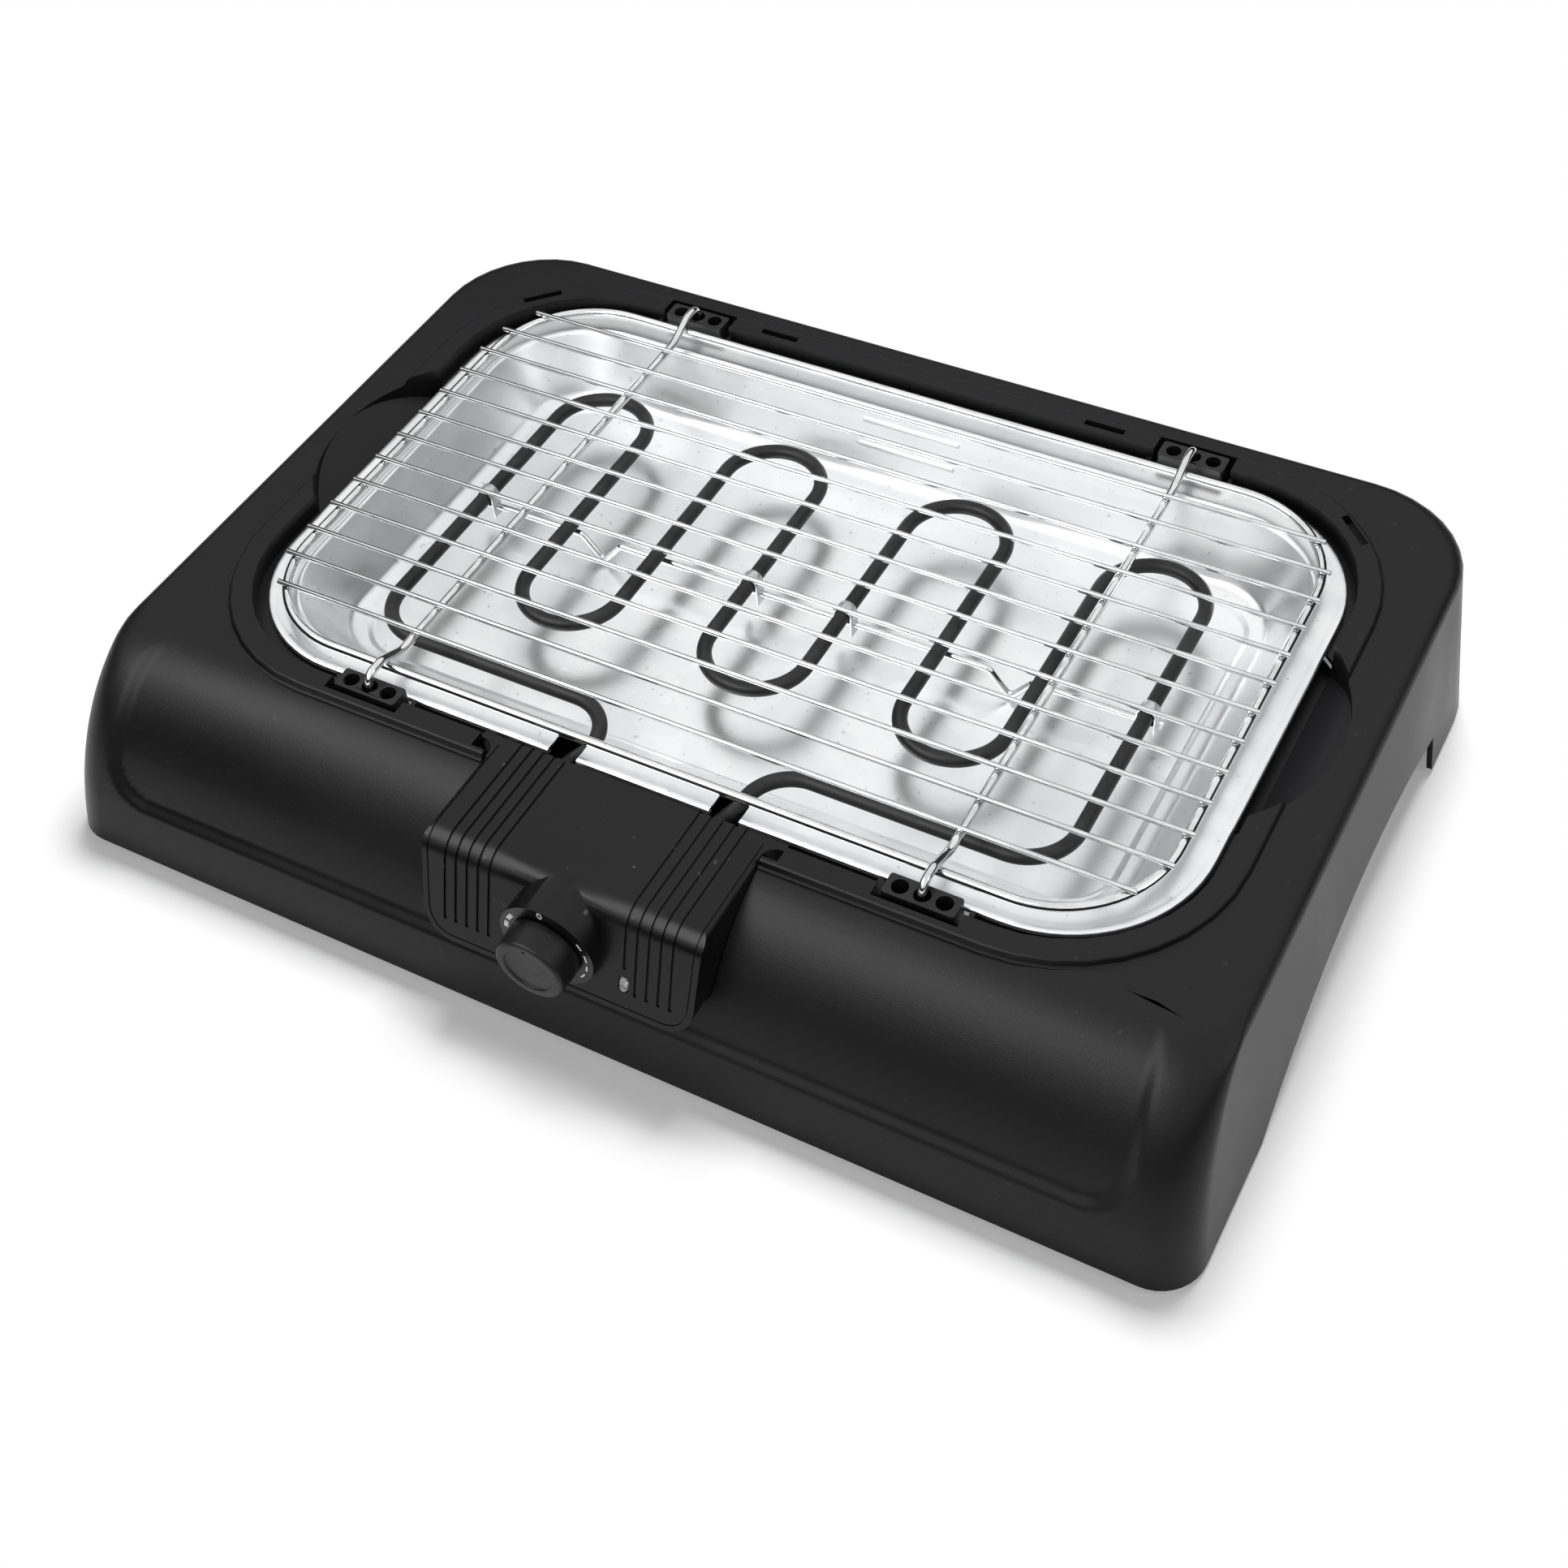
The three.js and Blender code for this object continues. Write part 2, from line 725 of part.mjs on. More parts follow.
// Shelf behind the control box, below the notches that the tube's ends pass
function notchSill() {
  const room = wingHalfWidth + boxFitGap;
  const half = room + cheekThickness;
  const front = openingFrontY - skirtThickness;
  const cheekRear = trayFrontY + trayRimWidth;
  const top = skirtBottom - sillDrop;
  const low = top - housingWall;
  let body = box(-half, half, front, trayFrontY + sillReach, low, top);
  for (const [left, right] of [[-half, -room], [room, half]]) {
    body = body.add(box(left, right, front, cheekRear, low, ledgeTop));
  }
  return body;
}

// Plan of a hand scoop: a large disc whose edge bulges out past the well
function scoopDisc(side, margin) {
  const centreX = side * (openingHalfWidth + scoopReach - scoopRadius);
  const low = skirtBottom - scoopDepth;
  return pin(centreX, scoopCentreY, scoopRadius + margin, low, ringTop + overrun, discSides);
}

// Everything above the scoop's floor, lowered by drop: the floor slopes down to the well
// and goes on level under the tray's rim
function scoopWedge(side, drop, top) {
  const slope = scoopDepth / scoopReach;
  const tipX = openingHalfWidth + scoopReach;
  const innerX = openingHalfWidth - scoopTuck;
  const outerX = tipX + (top - deckHeight + drop) / slope;
  const points = [
    new THREE.Vector2(side * innerX, scoopFloorZ - drop),
    new THREE.Vector2(side * openingHalfWidth, scoopFloorZ - drop),
    new THREE.Vector2(side * outerX, top),
    new THREE.Vector2(side * innerX, top),
  ];
  const half = scoopRadius + housingWall;
  return alongY(points, scoopCentreY - half, scoopCentreY + half);
}

function scoopShell(side) {
  const form = scoopWedge(side, housingWall, deckHeight - housingWall / 2);
  return form.intersect(scoopDisc(side, housingWall));
}

function scoopCut(side) {
  return scoopWedge(side, 0, ringTop + overrun).intersect(scoopDisc(side, 0));
}

function archCut() {
  const centreZ = archHeight - archRadius;
  const startAngle = Math.acos(-archFrontReach / archRadius);
  const endAngle = Math.acos(archRearReach / archRadius);
  const startZ = centreZ + archRadius * Math.sin(startAngle);
  const floorZ = Math.min(startZ, 0) - overrun;
  const points = [new THREE.Vector2(archCentreY - archFrontReach, floorZ)];
  for (let step = 0; step <= roundSides; step += 1) {
    const angle = THREE.MathUtils.lerp(startAngle, endAngle, step / roundSides);
    points.push(new THREE.Vector2(
      archCentreY + archRadius * Math.cos(angle),
      centreZ + archRadius * Math.sin(angle),
    ));
  }
  points.push(new THREE.Vector2(archCentreY + archRearReach, floorZ));
  const reach = footHalfWidth + overrun;
  return alongX(points, -reach, reach);
}

function slotCuts() {
  const straight = (length) => roundCorners([
    [-length / 2, -slotWidth / 2, 0],
    [length / 2, -slotWidth / 2, 0],
    [length / 2, slotWidth / 2, 0],
    [-length / 2, slotWidth / 2, 0],
  ]);
  const cutter = alongZ(straight(slotLength), deckHeight - housingWall - overrun, ringTop + overrun);
  const cuts = [];
  for (const side of [-1, 1]) {
    const angled = cutter.rotate([0, 0, -side * cornerSlotAngle]);
    cuts.push(cutter.translate([side * slotX, openingRearY + slotInset, 0]));
    cuts.push(angled.translate([side * cornerSlotX, cornerSlotY, 0]));
  }
  return cuts;
}

// Control box outline seen from the front, grown by margin
function boxOutline(margin, top, cornerRadius, topRadius) {
  const low = boxBottom - margin;
  const lowHalf = boxHalfWidth - boxTaper + margin;
  const highHalf = boxHalfWidth + margin;
  return roundCorners([
    [-lowHalf, low, cornerRadius],
    [lowHalf, low, cornerRadius],
    [highHalf, top, topRadius],
    [-highHalf, top, topRadius],
  ]);
}

// Saddle that the control box sits in
function boxSaddle() {
  const outer = boxOutline(boxFitGap + pocketWall, deckHeight, boxCornerRadius + pocketWall, 0);
  return alongY(outer, footFrontY, openingFrontY);
}

function boxSaddleCut() {
  const inner = boxOutline(boxFitGap, ringTop + overrun, boxCornerRadius, 0);
  return alongY(inner, footFrontY - overrun, openingFrontY + overrun);
}

function wingCut() {
  const half = wingHalfWidth + boxFitGap;
  const front = boxRearY - wingDepth - wingFillet - boxFitGap;
  const low = boxTop - wingHeight - boxFitGap;
  return box(-half, half, front, openingFrontY + overrun, low, ringTop + overrun);
}

// Slot that lets the cord's gland leave the saddle when the heater unit is lifted
function glandSlotCut() {
  const half = glandFlangeRadius + glandSlotMargin;
  const front = boxRearY - glandInset - half;
  const low = boxBottom - glandTail - overrun;
  return box(glandX - half, glandX + half, front, openingFrontY + overrun, low, boxBottom + overrun);
}

function blockPlaces() {
  const places = [];
  for (const [row, sideY] of [['front', -1], ['rear', 1]]) {
    for (const [column, sideX] of [['left', -1], ['right', 1]]) {
      places.push({ label: `${row}_${column}`, x: sideX * legX, y: sideY * legEndY, sideY });
    }
  }
  return places;
}

// Cup under the deck that carries a rack block, and the notch that it shows through
function blockCup({ x, y, sideY }) {
  const half = blockWidth / 2 + notchGap + pocketWall;
  const nearY = y - sideY * (blockDepth / 2 - touchGap);
  const farY = y + sideY * (blockDepth / 2 + notchGap + pocketWall);
  const [low, high] = [nearY, farY].sort((a, b) => a - b);
  return box(x - half, x + half, low, high, pocketFloor - pocketWall, deckHeight - housingWall / 2);
}

function blockNotch({ x, y, sideY }) {
  const half = blockWidth / 2 + notchGap;
  const nearY = y - sideY * (blockDepth / 2 + overrun);
  const farY = y + sideY * (blockDepth / 2 + notchGap);
  const [low, high] = [nearY, farY].sort((a, b) => a - b);
  return box(x - half, x + half, low, high, pocketFloor, ringTop + overrun);
}

function footPlaces() {
  const x = footHalfWidth - footInset;
  return [
    { label: 'front_left', x: -x, y: footFrontY + footInset },
    { label: 'front_right', x, y: footFrontY + footInset },
    { label: 'rear_left', x: -x, y: footRearY - footInset },
    { label: 'rear_right', x, y: footRearY - footInset },
  ];
}

function makeHousing() {
  const outer = outerForm();
  const inner = innerForm();
  const skirt = alongZ(openingOutline(skirtThickness), skirtBottom, deckHeight - housingWall / 2);
  const opening = alongZ(openingOutline(0), scoopFloorZ, ringTop + overrun);
  let body = outer.subtract(inner).add(ringSolid()).add(skirt);
  for (const side of [-1, 1]) {
    body = body.add(scoopShell(side));
  }
  body = body.add(boxSaddle().intersect(outer)).subtract(opening);
  body = body.add(trayLip()).add(notchSill());
  blockPlaces().forEach((place) => { body = body.add(blockCup(place).intersect(outer)); });
  footPlaces().forEach(({ x, y }) => {
    const web = pin(x, y, webRadius, standHeight, standHeight + webThickness);
    body = body.add(web.intersect(outer));
  });
  const cuts = [scoopCut(-1), scoopCut(1), boxSaddleCut(), wingCut(), glandSlotCut(), archCut()];
  cuts.push(...slotCuts());
  blockPlaces().forEach((place) => {
    cuts.push(blockNotch(place));
    cuts.push(pin(place.x, place.y, holeRadius, pocketFloor - pocketWall - overrun, pocketFloor + overrun));
  });
  footPlaces().forEach(({ x, y }) => {
    const holeTop = standHeight + webThickness + overrun;
    cuts.push(pin(x, y, footStemRadius + touchGap, standHeight - overrun, holeTop));
  });
  cuts.forEach((cut) => { body = body.subtract(cut); });
  return piece('housing', body, blackPlastic);
}

function makeBlock({ label, x, y }) {
  const half = blockWidth / 2;
  const outline = roundCorners([
    [x - half, y - blockDepth / 2, blockEdge],
    [x + half, y - blockDepth / 2, blockEdge],
    [x + half, y + blockDepth / 2, blockEdge],
    [x - half, y + blockDepth / 2, blockEdge],
  ], fewSteps);
  let body = alongZ(outline, blockTop - blockHeight, blockTop);
  for (const step of [-1, 0, 1]) {
    const holeX = x + step * blockHolePitch;
    body = body.subtract(pin(holeX, y, blockHoleRadius, blockHoleFloor, blockTop + overrun));
  }
  const pilotTop = blockTop - blockHeight + blockScrewLength - pocketWall;
  body = body.subtract(pin(x, y, holeRadius, blockTop - blockHeight - overrun, pilotTop, smallSides));
  return piece(`rack_block_${label}`, body, boxPlastic);
}

// Screw that points up, its head's face at headTop
function screwSolid(x, y, headTop, length) {
  return uprightTurned([
    [0, -screwHeadHeight],
    [screwHeadRadius, -screwHeadHeight],
    [screwHeadRadius, 0],
    [screwRadius, 0],
    [screwRadius, length],
    [0, length],
  ], x, y, headTop, smallSides);
}

function makeBlockScrew({ label, x, y }) {
  const headTop = pocketFloor - pocketWall - touchGap;
  return piece(`block_screw_${label}`, screwSolid(x, y, headTop, blockScrewLength), zincSteel);
}

function makeFoot({ label, x, y }) {
  const padTop = standHeight - touchGap;
  const headLow = standHeight + webThickness + touchGap;
  const body = uprightTurned([
    [0, 0],
    [footRadius, 0],
    [footRadius, padTop],
    [footStemRadius, padTop],
    [footStemRadius, headLow],
    [footHeadRadius, headLow],
    [footStemRadius, headLow + footHeadHeight],
    [0, headLow + footHeadHeight],
  ], x, y, 0);
  return piece(`foot_${label}`, body, rubber);
}

// Drip tray: outlines are inset from the rim's outer edge
function trayOutline(inset) {
  return planOutline(
    trayHalfWidth - inset,
    trayFrontY + inset,
    trayRearY - inset,
    trayCornerRadius - inset,
    trayCornerRadius - inset,
  );
}

function makeTray() {
  const wallFoot = trayRimWidth + trayWallRun;
  const borderInset = wallFoot + trayFloorRun;
  const stepInset = borderInset + trayBorderWidth;
  const low = trayFloorTop - traySheet;
  const border = low + trayStepHeight;
  const form = (sheet, top) => loft([
    { z: low + sheet, outline: trayOutline(stepInset + trayStepRun + sheet) },
    { z: border + sheet, outline: trayOutline(stepInset + sheet) },
    { z: border + sheet + traySheet / 4, outline: trayOutline(borderInset + sheet) },
    { z: border + sheet + trayFloorRise / 3, outline: trayOutline(wallFoot + trayFloorRun / 3 + sheet) },
    { z: border + sheet + trayFloorRise, outline: trayOutline(wallFoot + sheet) },
    { z: rimTop - traySheet, outline: trayOutline(trayRimWidth + sheet) },
    { z: top, outline: trayOutline(trayRimWidth + sheet) },
  ]);
  const beadLow = rimTop - trayBeadHeight;
  const bead = loft([
    { z: beadLow, outline: trayOutline(trayBeadChamfer) },
    { z: beadLow + trayBeadChamfer, outline: trayOutline(0) },
    { z: rimTop - trayBeadChamfer, outline: trayOutline(0) },
    { z: rimTop, outline: trayOutline(trayBeadChamfer) },
  ]).subtract(alongZ(trayOutline(trayBeadHeight), beadLow - overrun, rimTop + overrun));
  const rim = alongZ(trayOutline(trayBeadChamfer), rimTop - traySheet, rimTop);
  let body = bead.add(rim).add(form(0, rimTop)).subtract(form(traySheet, rimTop + overrun));
  for (const side of [-1, 1]) {
    const x = side * trayNotchX;
    const half = trayNotchWidth / 2;
    const rear = trayFrontY + trayRimWidth + trayWallRun;
    const notchLow = rimTop - trayNotchDepth;
    body = body.subtract(box(x - half, x + half, trayFrontY - overrun, rear, notchLow, rimTop + overrun));
  }
  return piece('drip_tray', body, galvanised);
}

// Heating element: four hairpins, then a long front run to each terminal
function makeElement() {
  const turn = elementTurnRadius * hairpinShare;
  const rear = elementRearY + elementTurnRadius;
  const front = elementTurnY - elementTurnRadius;
  const pinTip = boxRearY - terminalInset;
  const terminalCorners = (side) => [
    corner(side * terminalX, pinTip, terminalZ),
    corner(side * terminalX, terminalRampFrontY, terminalZ, terminalRampRadius),
    corner(side * terminalX, terminalRampRearY, elementZ, terminalRampRadius),
    corner(side * terminalX, elementFrontY, elementZ, elementLegRadius),
    corner(side * elementHalfWidth, elementFrontY, elementZ, elementCornerRadius),
  ];
  const corners = terminalCorners(-1);
  for (let run = 0; run < elementRunGaps; run += 1) {
    const x = run * elementPitch - elementHalfWidth;
    const end = run % 2 ? front : rear;
    corners.push(corner(x, end, elementZ, turn), corner(x + elementPitch, end, elementZ, turn));
  }
  corners.push(...terminalCorners(1).reverse());
  let body = toSolid(wire(corners, elementRadius, elementSides, elementTurnSteps / 2));
  for (const side of [-1, 1]) {
    const pinFrom = pinTip - terminalPinLength;
    const pinTo = pinTip + terminalPinLength;
    body = body.add(levelPin(side * terminalX, terminalZ, terminalPinRadius, pinFrom, pinTo, smallSides));
  }
  return piece('heating_element', body, heaterTube);
}

function makeRod() {
  const corners = [corner(-rodHalfLength, 0, rodZ)];
  for (const side of [-1, 1]) {
    const x = side * rodFootX;
    corners.push(
      corner(x - rodFootHalfWidth, 0, rodZ, rodFootBendRadius),
      corner(x, 0, rodFootZ, rodFootBendRadius),
      corner(x + rodFootHalfWidth, 0, rodZ, rodFootBendRadius),
    );
  }
  corners.push(corner(rodHalfLength, 0, rodZ));
  return piece('element_support_rod', wire(corners, rodRadius), chrome);
}

// Strap over the tube whose two legs hang on the rod
function makeStrap(name, x) {
  const innerRadius = elementRadius + touchGap;
  const outerRadius = innerRadius + strapThickness;
  const low = rodZ - rodRadius - strapTail;
  const onArc = (radius, angle) => (
    new THREE.Vector2(x + radius * Math.cos(angle), elementZ + radius * Math.sin(angle))
  );
  const points = [];
  for (let step = 0; step <= cornerSteps * 2; step += 1) {
    const angle = (Math.PI * step) / (cornerSteps * 2);
    points.push(onArc(outerRadius, angle));
  }
  points.push(new THREE.Vector2(x - outerRadius, low), new THREE.Vector2(x - innerRadius, low));
  for (let step = cornerSteps * 2; step >= 0; step -= 1) {
    const angle = (Math.PI * step) / (cornerSteps * 2);
    points.push(onArc(innerRadius, angle));
  }
  points.push(new THREE.Vector2(x + innerRadius, low), new THREE.Vector2(x + outerRadius, low));
  const reach = outerRadius + overrun;
  const boreRadius = rodRadius + touchGap;
  const bore = new THREE.CylinderGeometry(boreRadius, boreRadius, 2 * reach, smallSides);
  const body = alongY(points, -strapWidth / 2, strapWidth / 2);
  return piece(name, body.subtract(toSolid(bore.rotateZ(Math.PI / 2).translate(x, 0, rodZ))), zincSteel);
}

// Control box profile seen from the side, inset on all but its rear
function boxProfile(inset, rearReach, bendRadius) {
  const top = boxTop - inset;
  const low = boxBottom + inset;
  const lean = inset / Math.cos(boxFaceTilt);
  return roundCorners([
    [boxRearY + rearReach, low, 0],
    [boxRearY + rearReach, top, 0],
    [faceY(top) + lean, top, bendRadius],
    [faceY(low) + lean, low, 0],
  ]);
}

function boxForm(inset, rearReach, cornerRadius, edgeRadius) {
  const front = faceY(boxBottom) - overrun;
  const reach = boxHalfWidth + overrun;
  const side = alongX(boxProfile(inset, rearReach, boxBendRadius - inset), -reach, reach);
  const outline = boxOutline(-inset, boxTop - inset, cornerRadius, edgeRadius);
  return side.intersect(alongY(outline, front, boxRearY + rearReach));
}

function coverPosts() {
  const places = [];
  for (const [label, side] of [['left', -1], ['right', 1]]) {
    places.push({ label: `front_${label}`, x: side * frontPostX, y: boxRearY - frontPostInset });
    places.push({ label: `rear_${label}`, x: side * rearPostX, y: boxRearY - rearPostInset });
  }
  return places;
}

// Slot shape of the signal lens, square to the leaning face
function lensSolid(margin, from, to) {
  const half = lensWidth / 2 + margin;
  const long = lensLength / 2 + margin;
  const round = half * lensRoundShare;
  const outline = roundCorners([
    [-half, -long, round],
    [half, -long, round],
    [half, long, round],
    [-half, long, round],
  ], fewSteps);
  const degrees = THREE.MathUtils.radToDeg(boxFaceTilt);
  return alongY(outline, from, to).rotate([-degrees, 0, 0]).translate([lensX, faceY(lensZ), lensZ]);
}

// Everything inside the cover's skin by depth, wider than the cover
function boxCore(depth) {
  const reach = boxHalfWidth + overrun;
  return alongX(boxProfile(depth, 2 * overrun, boxBendRadius - depth), -reach, reach);
}

// Straight grooves that run out at the rear edge, over the top and down the face
function grooveCuts() {
  const front = faceY(boxBottom) - overrun;
  const rear = boxRearY - grooveRearInset;
  const runOutLow = boxTop - grooveDepth;
  const half = grooveWidth / 2;
  let windows = null;
  for (const side of [-1, 1]) {
    for (let index = 0; index < grooveCount; index += 1) {
      const x = side * (grooveFirstX + index * groovePitch);
      const overLens = side > 0 && index === 0;
      const low = overLens ? lensZ + lensLength : boxBottom + grooveEndHeight;
      const window = box(x - half, x + half, front, rear, low, boxTop + overrun)
        .add(box(x - half, x + half, rear - overrun, boxRearY + overrun, runOutLow, boxTop + overrun));
      windows = windows ? windows.add(window) : window;
    }
  }
  return windows.subtract(boxCore(grooveDepth));
}

// Fine line that follows the cover's edge round its face and back over its top
function edgeGrooveCut() {
  const front = faceY(boxBottom) - overrun;
  const band = (inset) => {
    const outline = boxOutline(-inset, boxTop + overrun, boxCornerRadius - inset, 0);
    return alongY(outline, front, boxRearY - grooveRearInset);
  };
  return band(edgeGrooveInset)
    .subtract(band(edgeGrooveInset + edgeGrooveWidth))
    .subtract(boxCore(edgeGrooveDepth));
}

// Wings beside the rear of the box, with a hollow fillet in front of each
function boxWings() {
  const stem = boxHalfWidth - boxWall / 2;
  const barFront = boxRearY - wingDepth;
  const stemFront = barFront - wingFillet - boxWall;
  const fillet = wingReach - touchGap;
  return alongZ(roundCorners([
    [stem, stemFront, 0],
    [stem, barFront, fillet],
    [wingHalfWidth, barFront, touchGap],
    [wingHalfWidth, boxRearY, 0],
    [-wingHalfWidth, boxRearY, 0],
    [-wingHalfWidth, barFront, touchGap],
    [-stem, barFront, fillet],
    [-stem, stemFront, 0],
  ]), boxTop - wingHeight, boxTop);
}

function makeCover() {
  const shell = boxForm(0, 0, boxCornerRadius, boxEdgeRadius);
  const hoodRear = boxFrontTopY + boxBendRadius;
  const hood = levelPin(0, dialZ, dialRadius, dialPlateY, hoodRear, knobSides);
  const outer = shell.add(hood).add(boxWings());
  const cavity = boxForm(boxWall, overrun, boxCornerRadius - boxWall, boxEdgeRadius / 4);
  const plateRear = dialPlateY + dialPlateThickness;
  const roomTop = boxTop - boxWall;
  const room = box(-dialRadius, dialRadius, plateRear, boxRearY, boxBottom + boxWall, roomTop);
  const hoodRoom = levelPin(0, dialZ, dialRadius - boxWall, plateRear, hoodRear + boxBendRadius, knobSides);
  let body = outer.subtract(cavity.add(hoodRoom.intersect(room)));
  coverPosts().forEach(({ x, y }) => {
    const post = pin(x, y, postRadius, screwPadTop + touchGap, boxTop - boxWall / 2, smallSides);
    body = body.add(post.intersect(outer));
  });
  const half = basePlateHalfWidth + touchGap;
  const front = faceY(boxBottom) + basePlateFrontInset - touchGap;
  const windowTop = basePlateTop + touchGap / 2;
  body = body.subtract(box(-half, half, front, boxRearY + overrun, boxBottom - overrun, windowTop));
  coverPosts().forEach(({ x, y }) => {
    body = body.subtract(pin(x, y, holeRadius, basePlateTop, screwPadTop + postHoleDepth, smallSides));
  });
  const shaftBore = shaftRadius + touchGap;
  const shaftHole = levelPin(0, dialZ, shaftBore, dialPlateY - overrun, dialPlateY + overrun);
  body = body.subtract(shaftHole).subtract(lensSolid(touchGap, -overrun, overrun));
  body = body.subtract(grooveCuts()).subtract(edgeGrooveCut());
  return piece('control_box_cover', body, boxPlastic);
}

function makeBase() {
  const half = basePlateHalfWidth;
  const front = faceY(boxBottom) + basePlateFrontInset;
  const rear = boxRearY - touchGap;
  const wallFront = rear - basePlateThickness;
  const plate = box(-half, half, front, rear, boxBottom, basePlateTop);
  const joint = box(-half, half, wallFront, rear, boxBottom, basePlateTop + boxWall);
  const inset = boxWall + touchGap;
  const outline = boxOutline(-inset, boxTop - inset, boxCornerRadius - inset, 0);
  let body = plate.add(joint).add(alongY(outline, wallFront, rear));
  for (const side of [-1, 1]) {
    const bore = sealRadius + touchGap;
    body = body.subtract(levelPin(side * terminalX, terminalZ, bore, wallFront - overrun, rear + overrun));
  }
  const low = boxBottom - overrun;
  coverPosts().forEach(({ x, y }) => {
    body = body.add(pin(x, y, screwPadRadius, basePlateTop - basePlateThickness / 2, screwPadTop));
    body = body.subtract(pin(x, y, holeRadius, boxBottom, screwPadTop + overrun, smallSides));
    body = body.subtract(pin(x, y, screwHeadRadius + touchGap, low, coverScrewTop + touchGap));
  });
  const glandY = boxRearY - glandInset;
  body = body.subtract(pin(glandX, glandY, glandNeckRadius + touchGap, low, basePlateTop + overrun));
  return piece('control_box_base', body, boxPlastic);
}

// Ring turned about a level axis, profile [radius, distance to the front]
function levelTurned(profile, x, y, z, sides = roundSides) {
  return turned(profile, sides).rotateX(Math.PI).translate(x, y, z);
}

function makeSeal(name, side) {
  const bore = elementRadius + touchGap;
  const throughWall = sealNose + 2 * touchGap + basePlateThickness;
  const flangeEnd = throughWall + sealFlangeThickness;
  const ring = levelTurned([
    [bore, 0],
    [sealRadius, 0],
    [sealRadius, throughWall],
    [sealFlangeRadius, throughWall],
    [sealFlangeRadius, flangeEnd],
    [bore, flangeEnd],
    [bore, 0],
  ], side * terminalX, boxRearY + sealNose, terminalZ);
  return piece(name, ring, ceramic);
}

function makeThermostat() {
  const front = dialPlateY + dialPlateThickness + touchGap;
  const body = levelPin(0, dialZ, thermostatRadius, front, front + thermostatLength)
    .subtract(levelPin(0, dialZ, shaftRadius + touchGap, front - overrun, front + shaftSeatDepth));
  return piece('thermostat_body', body, ceramic);
}

function makeShaft() {
  const rear = dialPlateY + dialPlateThickness + shaftSeatDepth;
  const front = knobRearY - knobBoreDepth + touchGap;
  return piece('thermostat_shaft', levelPin(0, dialZ, shaftRadius, front, rear), zincSteel);
}

function makeKnob() {
  const bore = shaftRadius + touchGap;
  const form = toSolid(levelTurned([
    [bore, 0],
    [knobBaseRadius, 0],
    [knobCapRadius, knobLength - knobEdge],
    [knobCapRadius - knobEdge, knobLength],
    [knobDishRadius, knobLength],
    [knobDishRadius - knobEdge / 2, knobLength - knobDishDepth],
    [0, knobLength - knobDishDepth],
    [0, knobBoreDepth],
    [bore, knobBoreDepth],
    [bore, 0],
  ], 0, knobRearY, dialZ, knobSides));
  const tip = knobRearY - knobLength;
  const high = dialZ + knobCapRadius - knobEdge;
  const half = pointerWidth / 2;
  const pointer = box(-half, half, tip - overrun, tip + pointerDepth, high - pointerLength, high);
  return piece('control_knob', form.subtract(pointer), boxPlastic);
}

function makeLens() {
  return piece('indicator_lens', lensSolid(0, -lensProud, lensThickness), clearPlastic);
}

function makeLamp() {
  const degrees = THREE.MathUtils.radToDeg(boxFaceTilt);
  const from = lensThickness + touchGap;
  const lamp = levelPin(0, 0, lampRadius, from, from + lampLength, roundSides)
    .rotate([-degrees, 0, 0])
    .translate([lensX, faceY(lensZ), lensZ]);
  return piece('indicator_lamp', lamp, clearPlastic);
}

function seatedBlock(name, centreX, inset, [width, depth, height], material) {
  const front = boxRearY - inset - depth / 2;
  const left = centreX - width / 2;
  const low = basePlateTop + touchGap;
  return piece(name, box(left, left + width, front, front + depth, low, low + height), material);
}

function makeLead(name, side) {
  const y = boxRearY - terminalBlockInset;
  const low = basePlateTop + 2 * touchGap + terminalBlockSize[2];
  const high = terminalZ - terminalPinRadius - touchGap;
  return piece(name, wire([
    corner(side * leadX, y, low),
    corner(side * leadX, y, low + leadRise, leadBendRadius),
    corner(side * terminalX, y, low + leadRise, leadBendRadius),
    corner(side * terminalX, y, high),
  ], leadRadius), leadSleeve);
}

function makeGland() {
  const low = boxBottom - touchGap - glandTail;
  const neckLow = boxBottom - touchGap;
  const neckHigh = basePlateTop + touchGap;
  const high = neckHigh + glandFlangeThickness;
  const ring = uprightTurned([
    [glandBoreRadius, low],
    [glandNeckRadius, low],
    [glandFlangeRadius, neckLow - glandTail / 2],
    [glandFlangeRadius, neckLow],
    [glandNeckRadius, neckLow],
    [glandNeckRadius, neckHigh],
    [glandFlangeRadius, neckHigh],
    [glandFlangeRadius, high],
    [glandBoreRadius, high],
    [glandBoreRadius, low],
  ], glandX, boxRearY - glandInset, 0);
  return piece('cord_gland', ring, rubber);
}

function makeCoverScrew({ label, x, y }) {
  return piece(`cover_screw_${label}`, screwSolid(x, y, coverScrewTop, coverScrewLength), zincSteel);
}

